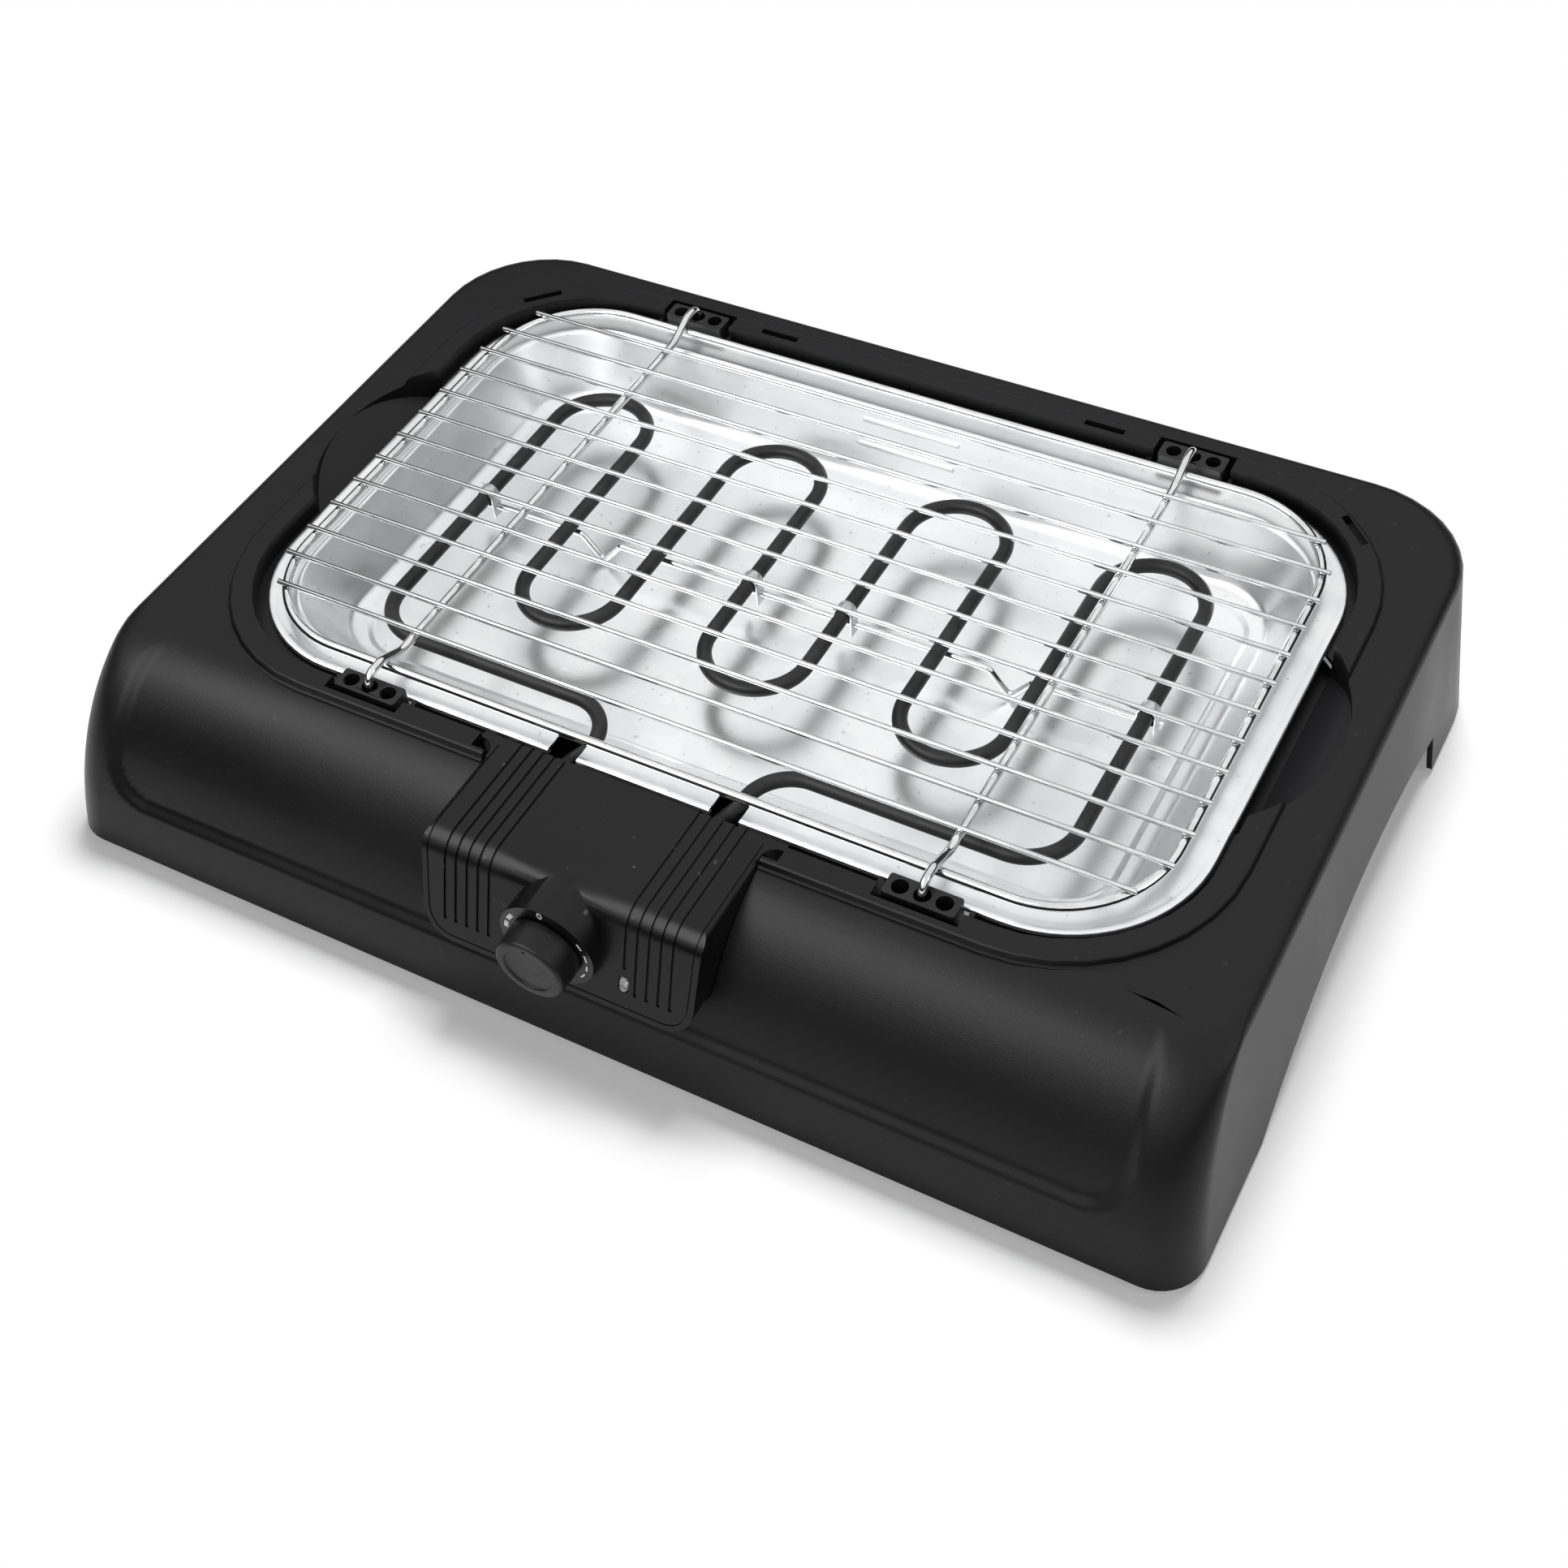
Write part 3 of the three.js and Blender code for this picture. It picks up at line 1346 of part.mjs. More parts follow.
function makeRimWire() {
  const outline = roundCorners([
    [rackHalfWidth, -rackHalfDepth, rackCornerRadius],
    [rackHalfWidth, rackHalfDepth, rackCornerRadius],
    [-rackHalfWidth, rackHalfDepth, rackCornerRadius],
    [-rackHalfWidth, -rackHalfDepth, rackCornerRadius],
  ]);
  const positions = [];
  const index = [];
  const rings = outline.length;
  outline.forEach((point, ring) => {
    const before = outline[(ring + rings - 1) % rings];
    const after = outline[(ring + 1) % rings];
    const arriving = point.clone().sub(before).normalize();
    const leaving = after.clone().sub(point).normalize();
    const along = arriving.add(leaving).normalize();
    for (let side = 0; side < wireSides; side += 1) {
      const angle = (2 * Math.PI * side) / wireSides;
      const out = rimWireRadius * Math.cos(angle);
      const z = rimWireZ + rimWireRadius * Math.sin(angle);
      positions.push(point.x + along.y * out, point.y - along.x * out, z);
      const a = ring * wireSides + side;
      const b = ring * wireSides + ((side + 1) % wireSides);
      const c = ((ring + 1) % rings) * wireSides + ((side + 1) % wireSides);
      const d = ((ring + 1) % rings) * wireSides + side;
      index.push(a, d, c, a, c, b);
    }
  });
  const geometry = new THREE.BufferGeometry();
  geometry.setAttribute('position', new THREE.BufferAttribute(new Float32Array(positions), 3));
  geometry.setIndex(index);
  return piece('rack_rim_wire', geometry, chrome);
}

// A cross wire ends a little past the rim wire, whose corners are round
function makeCrossWire(number) {
  const y = crossWireSpan / 2 - (number - 1) * wirePitch;
  const intoCorner = Math.max(Math.abs(y) - (rackHalfDepth - rackCornerRadius), 0);
  const setBack = rackCornerRadius - Math.sqrt(rackCornerRadius ** 2 - intoCorner ** 2);
  const half = rackHalfWidth - setBack + crossWireOverhang;
  const ends = [corner(-half, y, crossWireZ), corner(half, y, crossWireZ)];
  return piece(`rack_cross_wire_${String(number).padStart(2, '0')}`, wire(ends, wireRadius), chrome);
}

function makeLeg(name, x) {
  const low = blockHoleFloor + touchGap;
  const shoulderY = legEndY - legShoulderInset;
  const kneeY = rackHalfDepth - legKneeInset;
  const half = (side) => [
    corner(x, side * legEndY, low),
    corner(x, side * legEndY, legCrestZ, legBendRadius),
    corner(x, side * shoulderY, legCrestZ, legBendRadius),
    corner(x, side * kneeY, legZ, kneeBendRadius),
  ];
  return piece(name, wire([...half(-1), ...half(1).reverse()], legRadius), chrome);
}

// Assembly
const housingGroup = new THREE.Group();
housingGroup.add(makeHousing());
blockPlaces().forEach((place) => housingGroup.add(makeBlock(place), makeBlockScrew(place)));
footPlaces().forEach((place) => housingGroup.add(makeFoot(place)));

const trayGroup = new THREE.Group();
trayGroup.add(makeTray());

const heaterGroup = new THREE.Group();
heaterGroup.add(makeElement(), makeRod());
[-1, -1 / elementRunGaps, 1 / elementRunGaps, 1].forEach((share, index) => {
  heaterGroup.add(makeStrap(`element_strap_${index + 1}`, share * elementHalfWidth));
});
heaterGroup.add(makeCover(), makeBase());
heaterGroup.add(makeSeal('terminal_seal_left', -1), makeSeal('terminal_seal_right', 1));
heaterGroup.add(makeThermostat(), makeLens(), makeLamp());
heaterGroup.add(seatedBlock('terminal_block', 0, terminalBlockInset, terminalBlockSize, ceramic));
heaterGroup.add(seatedBlock('thermal_cutout', cutoutX, cutoutInset, cutoutSize, zincSteel));
heaterGroup.add(makeLead('lead_left', -1), makeLead('lead_right', 1), makeGland());
coverPosts().forEach((place) => heaterGroup.add(makeCoverScrew(place)));

const knobGroup = new THREE.Group();
knobGroup.add(makeShaft(), makeKnob());
heaterGroup.add(knobGroup);

const rackGroup = new THREE.Group();
rackGroup.add(makeRimWire(), makeLeg('rack_leg_wire_left', -legX), makeLeg('rack_leg_wire_right', legX));
for (let number = 1; number <= crossWireCount; number += 1) {
  rackGroup.add(makeCrossWire(number));
}

const group = new THREE.Group();
group.add(housingGroup, trayGroup, heaterGroup, rackGroup);

// The origin is under the middle of the whole, on the table
const knobFrontY = knobRearY - knobLength;
group.position.y = -(knobFrontY + footRearY) / 2;

export default group;
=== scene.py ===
import math

import bmesh
import bpy
from mathutils import Matrix, Vector


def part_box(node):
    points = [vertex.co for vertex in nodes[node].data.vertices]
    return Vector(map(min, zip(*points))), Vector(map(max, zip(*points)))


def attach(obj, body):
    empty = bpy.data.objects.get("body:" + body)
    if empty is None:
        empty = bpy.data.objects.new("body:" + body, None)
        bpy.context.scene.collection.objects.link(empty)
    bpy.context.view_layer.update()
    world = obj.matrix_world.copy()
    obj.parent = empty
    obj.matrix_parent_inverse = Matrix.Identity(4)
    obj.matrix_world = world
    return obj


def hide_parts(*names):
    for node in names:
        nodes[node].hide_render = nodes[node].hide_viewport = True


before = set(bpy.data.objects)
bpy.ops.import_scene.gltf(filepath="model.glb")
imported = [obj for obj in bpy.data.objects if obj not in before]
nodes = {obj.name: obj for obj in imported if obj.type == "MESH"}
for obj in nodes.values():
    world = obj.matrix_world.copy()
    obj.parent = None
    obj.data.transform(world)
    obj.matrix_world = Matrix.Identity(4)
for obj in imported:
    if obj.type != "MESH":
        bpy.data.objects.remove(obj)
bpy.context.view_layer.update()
print("frame loaded:", len(nodes), "nodes")

# The rack's middle, from which the wires, tray and element are measured
rimLow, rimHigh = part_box("rack_rim_wire")
rackY = (rimLow.y + rimHigh.y) / 2
mm = 0.001
fullTurn = 2 * math.pi
quarterTurn = math.pi / 2


# Camera
cameraLook = {
    "place": (0.34668, -0.540772, 0.70685),
    "azimuth": 32.558,
    "elevation": 48.676,
    "roll": -5.489,
    "focal": 49.37,
    "sensor": 36.0,
}


def makeCamera(look):
    azimuth, elevation, roll = (math.radians(look[key]) for key in ("azimuth", "elevation", "roll"))
    ahead = Vector((
        -math.sin(azimuth) * math.cos(elevation),
        math.cos(azimuth) * math.cos(elevation),
        -math.sin(elevation),
    ))
    level = Vector((math.cos(azimuth), math.sin(azimuth), 0))
    upright = level.cross(ahead)
    right = level * math.cos(roll) + upright * math.sin(roll)
    up = upright * math.cos(roll) - level * math.sin(roll)
    data = bpy.data.cameras.new("photoCamera")
    data.lens = look["focal"]
    data.sensor_width = look["sensor"]
    camera = bpy.data.objects.new("photoCamera", data)
    turn = Matrix((right, up, -ahead)).transposed().to_4x4()
    camera.matrix_world = Matrix.Translation(look["place"]) @ turn
    bpy.context.scene.collection.objects.link(camera)
    bpy.context.scene.camera = camera


makeCamera(cameraLook)
bpy.context.scene.view_settings.view_transform = "Standard"


# Studio: a white table, a big soft lamp overhead and smaller ones round it
studioLook = {
    "worldLevel": 0.12,
    "floorSize": 8.0,
    "floorColour": (0.82, 0.82, 0.82, 1),
    "floorGlow": 0.2,
    "footprint": (0.261, 0.181, 0),
    "fadeFrom": 0.002,
    "fadeTo": 0.036,
}
lampLooks = (
    {"name": "overheadLamp", "place": (-0.05, 0.62, 1.4), "size": (0.7, 0.5), "watts": 26,
     "lights": True, "mirrored": False},
    {"name": "frontLamp", "place": (-0.55, -0.8, 1.2), "size": (1.5, 0.8), "watts": 17,
     "lights": False, "mirrored": True},
    {"name": "fillLamp", "place": (0.2, -1.3, 0.9), "size": (1.2, 0.6), "watts": 5,
     "lights": True, "mirrored": False},
    {"name": "sideLamp", "place": (1.35, 0.1, 0.75), "size": (0.5, 0.9), "watts": 1.5,
     "lights": True, "mirrored": True},
)


def addNode(tree, kind, **settings):
    node = tree.nodes.new(kind)
    for key, value in settings.items():
        setattr(node, key, value)
    return node


def addSight(tree):
    # 1 where the camera, a mirror or clear plastic sees the surface
    rays = addNode(tree, "ShaderNodeLightPath")
    either = addNode(tree, "ShaderNodeMath", operation="MAXIMUM")
    sight = addNode(tree, "ShaderNodeMath", operation="MAXIMUM")
    tree.links.new(rays.outputs["Is Camera Ray"], either.inputs[0])
    tree.links.new(rays.outputs["Is Glossy Ray"], either.inputs[1])
    tree.links.new(either.outputs[0], sight.inputs[0])
    tree.links.new(rays.outputs["Is Transmission Ray"], sight.inputs[1])
    return sight.outputs[0]


def makeWorld(look):
    world = bpy.data.worlds.new("studioWorld")
    bpy.context.scene.world = world
    world.use_nodes = True
    tree = world.node_tree
    tree.nodes.clear()
    room = addNode(tree, "ShaderNodeBackground")
    room.inputs["Color"].default_value = (1, 1, 1, 1)
    room.inputs["Strength"].default_value = look["worldLevel"]
    backdrop = addNode(tree, "ShaderNodeBackground")
    backdrop.inputs["Color"].default_value = (1, 1, 1, 1)
    mix = addNode(tree, "ShaderNodeMixShader")
    output = addNode(tree, "ShaderNodeOutputWorld")
    tree.links.new(addSight(tree), mix.inputs["Fac"])
    tree.links.new(room.outputs[0], mix.inputs[1])
    tree.links.new(backdrop.outputs[0], mix.inputs[2])
    tree.links.new(mix.outputs[0], output.inputs["Surface"])


def makeFloor(look):
    bm = bmesh.new()
    bmesh.ops.create_grid(bm, x_segments=1, y_segments=1, size=look["floorSize"] / 2)
    mesh = bpy.data.meshes.new("floor")
    bm.to_mesh(mesh)
    bm.free()
    floor = bpy.data.objects.new("floor", mesh)
    bpy.context.scene.collection.objects.link(floor)
    material = bpy.data.materials.new("whiteTable")
    material.use_nodes = True
    tree = material.node_tree
    tree.nodes.clear()
    matt = addNode(tree, "ShaderNodeBsdfDiffuse")
    matt.inputs["Color"].default_value = look["floorColour"]
    glow = addNode(tree, "ShaderNodeEmission")
    glow.inputs["Strength"].default_value = look["floorGlow"]
    dark = addNode(tree, "ShaderNodeEmission")
    dark.inputs["Strength"].default_value = 0
    glowSeen = addNode(tree, "ShaderNodeMixShader")
    table = addNode(tree, "ShaderNodeAddShader")
    white = addNode(tree, "ShaderNodeEmission")
    white.inputs["Strength"].default_value = 1
    position = addNode(tree, "ShaderNodeTexCoord")
    mirrored = addNode(tree, "ShaderNodeVectorMath", operation="ABSOLUTE")
    beyond = addNode(tree, "ShaderNodeVectorMath", operation="SUBTRACT")
    beyond.inputs[1].default_value = look["footprint"]
    outside = addNode(tree, "ShaderNodeVectorMath", operation="MAXIMUM")
    outside.inputs[1].default_value = (0, 0, 0)
    distance = addNode(tree, "ShaderNodeVectorMath", operation="LENGTH")
    fade = addNode(tree, "ShaderNodeMapRange", interpolation_type="SMOOTHSTEP")
    fade.inputs["From Min"].default_value = look["fadeFrom"]
    fade.inputs["From Max"].default_value = look["fadeTo"]
    farAndSeen = addNode(tree, "ShaderNodeMath", operation="MULTIPLY")
    surface = addNode(tree, "ShaderNodeMixShader")
    output = addNode(tree, "ShaderNodeOutputMaterial")
    sight = addSight(tree)
    tree.links.new(sight, glowSeen.inputs["Fac"])
    tree.links.new(dark.outputs[0], glowSeen.inputs[1])
    tree.links.new(glow.outputs[0], glowSeen.inputs[2])
    tree.links.new(matt.outputs[0], table.inputs[0])
    tree.links.new(glowSeen.outputs[0], table.inputs[1])
    tree.links.new(position.outputs["Object"], mirrored.inputs[0])
    tree.links.new(mirrored.outputs[0], beyond.inputs[0])
    tree.links.new(beyond.outputs[0], outside.inputs[0])
    tree.links.new(outside.outputs[0], distance.inputs[0])
    tree.links.new(distance.outputs["Value"], fade.inputs["Value"])
    tree.links.new(fade.outputs[0], farAndSeen.inputs[0])
    tree.links.new(sight, farAndSeen.inputs[1])
    tree.links.new(farAndSeen.outputs[0], surface.inputs["Fac"])
    tree.links.new(table.outputs[0], surface.inputs[1])
    tree.links.new(white.outputs[0], surface.inputs[2])
    # From below the table is clear, so that the underside can be seen
    side = addNode(tree, "ShaderNodeNewGeometry")
    clear = addNode(tree, "ShaderNodeBsdfTransparent")
    oneSided = addNode(tree, "ShaderNodeMixShader")
    tree.links.new(side.outputs["Backfacing"], oneSided.inputs["Fac"])
    tree.links.new(surface.outputs[0], oneSided.inputs[1])
    tree.links.new(clear.outputs[0], oneSided.inputs[2])
    tree.links.new(oneSided.outputs[0], output.inputs["Surface"])
    mesh.materials.append(material)


def makeLamp(look):
    data = bpy.data.lights.new(look["name"], "AREA")
    data.shape = "RECTANGLE"
    data.size, data.size_y = look["size"]
    data.energy = look["watts"]
    lamp = bpy.data.objects.new(look["name"], data)
    lamp.location = look["place"]
    lamp.rotation_mode = "QUATERNION"
    lamp.rotation_quaternion = (-lamp.location).to_track_quat("-Z", "Y")
    lamp.visible_camera = False
    lamp.visible_diffuse = look["lights"]
    lamp.visible_glossy = look["mirrored"]
    bpy.context.scene.collection.objects.link(lamp)


# A dark band round the studio, nearer behind the object, seen in gloss and chrome alone
bandLook = {"centre": (0.3, -0.45, 0), "radius": 1.7, "height": 0.75, "tone": (0.03, 0.03, 0.03, 1)}


def makeDarkBand(look):
    bm = bmesh.new()
    made = bmesh.ops.create_circle(bm, cap_ends=False, segments=48, radius=look["radius"],
                                   matrix=Matrix.Translation(look["centre"]))
    ring = list({edge for vert in made["verts"] for edge in vert.link_edges})
    wall = bmesh.ops.extrude_edge_only(bm, edges=ring)
    verts = [item for item in wall["geom"] if isinstance(item, bmesh.types.BMVert)]
    bmesh.ops.translate(bm, vec=(0, 0, look["height"]), verts=verts)
    mesh = bpy.data.meshes.new("darkBand")
    bm.to_mesh(mesh)
    bm.free()
    band = bpy.data.objects.new("darkBand", mesh)
    bpy.context.scene.collection.objects.link(band)
    material = bpy.data.materials.new("darkCloth")
    material.use_nodes = True
    cloth = material.node_tree.nodes["Principled BSDF"]
    cloth.inputs["Base Color"].default_value = look["tone"]
    cloth.inputs["Roughness"].default_value = 1
    mesh.materials.append(material)
    band.visible_camera = False
    band.visible_diffuse = False
    band.visible_shadow = False
    band.visible_transmission = False


makeWorld(studioLook)
makeFloor(studioLook)
makeDarkBand(bandLook)
for lampLook in lampLooks:
    makeLamp(lampLook)
print("studio ready")


# Effects that several finishes share
def newGroup(name, inputs, outputs):
    group = bpy.data.node_groups.new(name, "ShaderNodeTree")
    for label, kind, value in inputs:
        socket = group.interface.new_socket(name=label, in_out="INPUT", socket_type=kind)
        if value is not None:
            socket.default_value = value
    for label in outputs:
        group.interface.new_socket(name=label, in_out="OUTPUT", socket_type="NodeSocketFloat")
    return group, addNode(group, "NodeGroupInput"), addNode(group, "NodeGroupOutput")


def addNoise(tree, vector, scale, detail, roughness=0.5, distortion=0.0):
    noise = addNode(tree, "ShaderNodeTexNoise")
    tree.links.new(vector, noise.inputs["Vector"])
    if isinstance(scale, (int, float)):
        noise.inputs["Scale"].default_value = scale
    else:
        tree.links.new(scale, noise.inputs["Scale"])
    noise.inputs["Detail"].default_value = detail
    noise.inputs["Roughness"].default_value = roughness
    noise.inputs["Distortion"].default_value = distortion
    return noise.outputs["Fac"]


def addRange(tree, value, fromLow, fromHigh, toLow, toHigh):
    span = addNode(tree, "ShaderNodeMapRange", interpolation_type="SMOOTHSTEP")
    tree.links.new(value, span.inputs["Value"])
    for key, number in (("From Min", fromLow), ("From Max", fromHigh), ("To Min", toLow), ("To Max", toHigh)):
        span.inputs[key].default_value = number
    return span.outputs["Result"]


def addMath(tree, operation, first, second):
    node = addNode(tree, "ShaderNodeMath", operation=operation)
    for socket, value in zip(node.inputs, (first, second)):
        if isinstance(value, (int, float)):
            socket.default_value = value
        else:
            tree.links.new(value, socket)
    return node.outputs[0]


# Spark-eroded mould grain, cloudy gloss and a little settled dust
def makeMouldGrain():
    group, given, result = newGroup("mouldGrain", (
        ("Vector", "NodeSocketVector", None),
        ("Grain Scale", "NodeSocketFloat", 1500),
        ("Cloud Scale", "NodeSocketFloat", 9),
        ("Speck Scale", "NodeSocketFloat", 420),
    ), ("Grain", "Cloud", "Speck"))
    vector = given.outputs["Vector"]
    fine = addNoise(group, vector, given.outputs["Grain Scale"], 2, 0.6)
    cells = addNode(group, "ShaderNodeTexVoronoi", feature="SMOOTH_F1")
    group.links.new(vector, cells.inputs["Vector"])
    group.links.new(given.outputs["Grain Scale"], cells.inputs["Scale"])
    cloud = addNoise(group, vector, given.outputs["Cloud Scale"], 5, 0.55, 0.4)
    specks = addNoise(group, vector, given.outputs["Speck Scale"], 1, 0.3)
    group.links.new(addMath(group, "ADD", fine, cells.outputs["Distance"]), result.inputs["Grain"])
    group.links.new(addRange(group, cloud, 0.32, 0.68, 0, 1), result.inputs["Cloud"])
    group.links.new(addRange(group, specks, 0.76, 0.82, 0, 1), result.inputs["Speck"])
    return group


# Zinc-coated sheet: cloudy patches, crystal flakes, rolling grain and shallow dents
def makeZincBloom():
    group, given, result = newGroup("zincBloom", (
        ("Vector", "NodeSocketVector", None),
        ("Patch Scale", "NodeSocketFloat", 11),
        ("Flake Scale", "NodeSocketFloat", 120),
        ("Dent Scale", "NodeSocketFloat", 45),
        ("Grain Scale", "NodeSocketFloat", 900),
        ("Pit Scale", "NodeSocketFloat", 260),
    ), ("Patch", "Flake", "Dent", "Grain", "Pit"))
    vector = given.outputs["Vector"]
    patch = addNoise(group, vector, given.outputs["Patch Scale"], 4, 0.6, 1.1)
    flakes = addNode(group, "ShaderNodeTexVoronoi", feature="F1")
    group.links.new(vector, flakes.inputs["Vector"])
    group.links.new(given.outputs["Flake Scale"], flakes.inputs["Scale"])
    shade = addNode(group, "ShaderNodeSeparateColor")
    group.links.new(flakes.outputs["Color"], shade.inputs[0])
    dent = addNoise(group, vector, given.outputs["Dent Scale"], 2, 0.4, 0.3)
    grain = addNoise(group, vector, given.outputs["Grain Scale"], 2, 0.5)
    pits = addNoise(group, vector, given.outputs["Pit Scale"], 2, 0.5)
    group.links.new(addRange(group, pits, 0.69, 0.73, 0, 1), result.inputs["Pit"])
    group.links.new(addRange(group, patch, 0.36, 0.66, 0, 1), result.inputs["Patch"])
    group.links.new(shade.outputs["Red"], result.inputs["Flake"])
    group.links.new(dent, result.inputs["Dent"])
    group.links.new(grain, result.inputs["Grain"])
    return group


# Round stock: drawing marks, stains from heat and fine pits
def makeDrawnMarks():
    group, given, result = newGroup("drawnMarks", (
        ("Vector", "NodeSocketVector", None),
        ("Mark Scale", "NodeSocketFloat", 700),
        ("Stain Scale", "NodeSocketFloat", 40),
    ), ("Mark", "Stain"))
    vector = given.outputs["Vector"]
    mark = addNoise(group, vector, given.outputs["Mark Scale"], 3, 0.6)
    stain = addNoise(group, vector, given.outputs["Stain Scale"], 4, 0.6, 0.8)
    group.links.new(mark, result.inputs["Mark"])
    group.links.new(addRange(group, stain, 0.38, 0.66, 0, 1), result.inputs["Stain"])
    return group


mouldGrain = makeMouldGrain()
zincBloom = makeZincBloom()
drawnMarks = makeDrawnMarks()


def startFinish(name):
    material = bpy.data.materials.new(name)
    material.use_nodes = True
    tree = material.node_tree
    tree.nodes.clear()
    shader = addNode(tree, "ShaderNodeBsdfPrincipled")
    output = addNode(tree, "ShaderNodeOutputMaterial")
    tree.links.new(shader.outputs[0], output.inputs["Surface"])
    return material, tree, shader, addNode(tree, "ShaderNodeTexCoord").outputs["Object"]


def placeGroup(tree, group, vector, values):
    node = addNode(tree, "ShaderNodeGroup")
    node.node_tree = group
    tree.links.new(vector, node.inputs["Vector"])
    for label, value in values.items():
        node.inputs[label].default_value = value
    return node.outputs


def blendColours(tree, share, first, second):
    mix = addNode(tree, "ShaderNodeMix", data_type="RGBA")
    tree.links.new(share, mix.inputs[0])
    for socket, colour in ((mix.inputs[6], first), (mix.inputs[7], second)):
        if isinstance(colour, tuple):
            socket.default_value = (*colour, 1)
        else:
            tree.links.new(colour, socket)
    return mix.outputs[2]


def addBump(tree, shader, height, strength, distance):
    bump = addNode(tree, "ShaderNodeBump")
    bump.inputs["Strength"].default_value = strength
    bump.inputs["Distance"].default_value = distance
    tree.links.new(height, bump.inputs["Height"])
    tree.links.new(bump.outputs[0], shader.inputs["Normal"])


# Moulded plastics and rubber
def makePlastic(name, look):
    material, tree, shader, vector = startFinish(name)
    effect = placeGroup(tree, mouldGrain, vector, {
        "Grain Scale": look["grainScale"],
        "Cloud Scale": look["cloudScale"],
        "Speck Scale": look["speckScale"],
    })
    clouded = blendColours(tree, effect["Cloud"], look["deep"], look["pale"])
    dusted = addMath(tree, "MULTIPLY", effect["Speck"], look["dust"])
    tree.links.new(blendColours(tree, dusted, clouded, look["dustTone"]), shader.inputs["Base Color"])
    gloss = addRange(tree, effect["Cloud"], 0, 1, look["smooth"], look["rough"])
    tree.links.new(gloss, shader.inputs["Roughness"])
    shader.inputs["Specular IOR Level"].default_value = look["shine"]
    addBump(tree, shader, effect["Grain"], look["bump"], look["grainDepth"])
    return material


housingFinish = makePlastic("satinBlackHousing", {
    "grainScale": 1300, "cloudScale": 7, "speckScale": 330,
    "deep": (0.0065, 0.0065, 0.0072), "pale": (0.0095, 0.0095, 0.0104),
    "dust": 0.25, "dustTone": (0.05, 0.05, 0.05),
    "smooth": 0.32, "rough": 0.40, "shine": 0.2, "bump": 0.3, "grainDepth": 0.0001,
})
boxFinish = makePlastic("satinBlackBox", {
    "grainScale": 1900, "cloudScale": 16, "speckScale": 260,
    "deep": (0.0035, 0.0035, 0.0039), "pale": (0.0055, 0.0055, 0.006),
    "dust": 0.6, "dustTone": (0.10, 0.10, 0.095),
    "smooth": 0.26, "rough": 0.34, "shine": 0.24, "bump": 0.25, "grainDepth": 0.00007,
})
knobFinish = makePlastic("mattBlackKnob", {
    "grainScale": 2400, "cloudScale": 60, "speckScale": 420,
    "deep": (0.006, 0.006, 0.0064), "pale": (0.010, 0.010, 0.0104),
    "dust": 0.3, "dustTone": (0.08, 0.08, 0.08),
    "smooth": 0.36, "rough": 0.46, "shine": 0.26, "bump": 0.25, "grainDepth": 0.00006,
})
blockFinish = makePlastic("blackBlock", {
    "grainScale": 2000, "cloudScale": 40, "speckScale": 500,
    "deep": (0.010, 0.010, 0.011), "pale": (0.016, 0.016, 0.017),
    "dust": 0.3, "dustTone": (0.08, 0.08, 0.08),
    "smooth": 0.30, "rough": 0.42, "shine": 0.3, "bump": 0.25, "grainDepth": 0.00006,
})
rubberFinish = makePlastic("footRubber", {
    "grainScale": 900, "cloudScale": 60, "speckScale": 300,
    "deep": (0.014, 0.014, 0.014), "pale": (0.026, 0.026, 0.026),
    "dust": 0.8, "dustTone": (0.12, 0.12, 0.115),
    "smooth": 0.7, "rough": 0.85, "shine": 0.2, "bump": 0.5, "grainDepth": 0.0002,
})
ceramicFinish = makePlastic("terminalCeramic", {
    "grainScale": 1600, "cloudScale": 90, "speckScale": 350,
    "deep": (0.58, 0.53, 0.44), "pale": (0.70, 0.66, 0.57),
    "dust": 0.7, "dustTone": (0.35, 0.30, 0.22),
    "smooth": 0.45, "rough": 0.7, "shine": 0.4, "bump": 0.4, "grainDepth": 0.0001,
})
sleeveFinish = makePlastic("glassSleeve", {
    "grainScale": 2600, "cloudScale": 160, "speckScale": 700,
    "deep": (0.52, 0.49, 0.42), "pale": (0.68, 0.66, 0.60),
    "dust": 0.5, "dustTone": (0.4, 0.36, 0.3),
    "smooth": 0.6, "rough": 0.8, "shine": 0.3, "bump": 0.6, "grainDepth": 0.00012,
})
innerFinish = makePlastic("thermostatPlastic", {
    "grainScale": 1700, "cloudScale": 70, "speckScale": 420,
    "deep": (0.10, 0.045, 0.022), "pale": (0.16, 0.075, 0.038),
    "dust": 0.4, "dustTone": (0.2, 0.15, 0.1),
    "smooth": 0.35, "rough": 0.5, "shine": 0.4, "bump": 0.25, "grainDepth": 0.00008,
})
printFinish = makePlastic("whitePrint", {
    "grainScale": 3200, "cloudScale": 300, "speckScale": 1500,
    "deep": (0.88, 0.88, 0.87), "pale": (0.94, 0.94, 0.93),
    "dust": 0.3, "dustTone": (0.6, 0.6, 0.6),
    "smooth": 0.45, "rough": 0.6, "shine": 0.3, "bump": 0.3, "grainDepth": 0.00003,
})


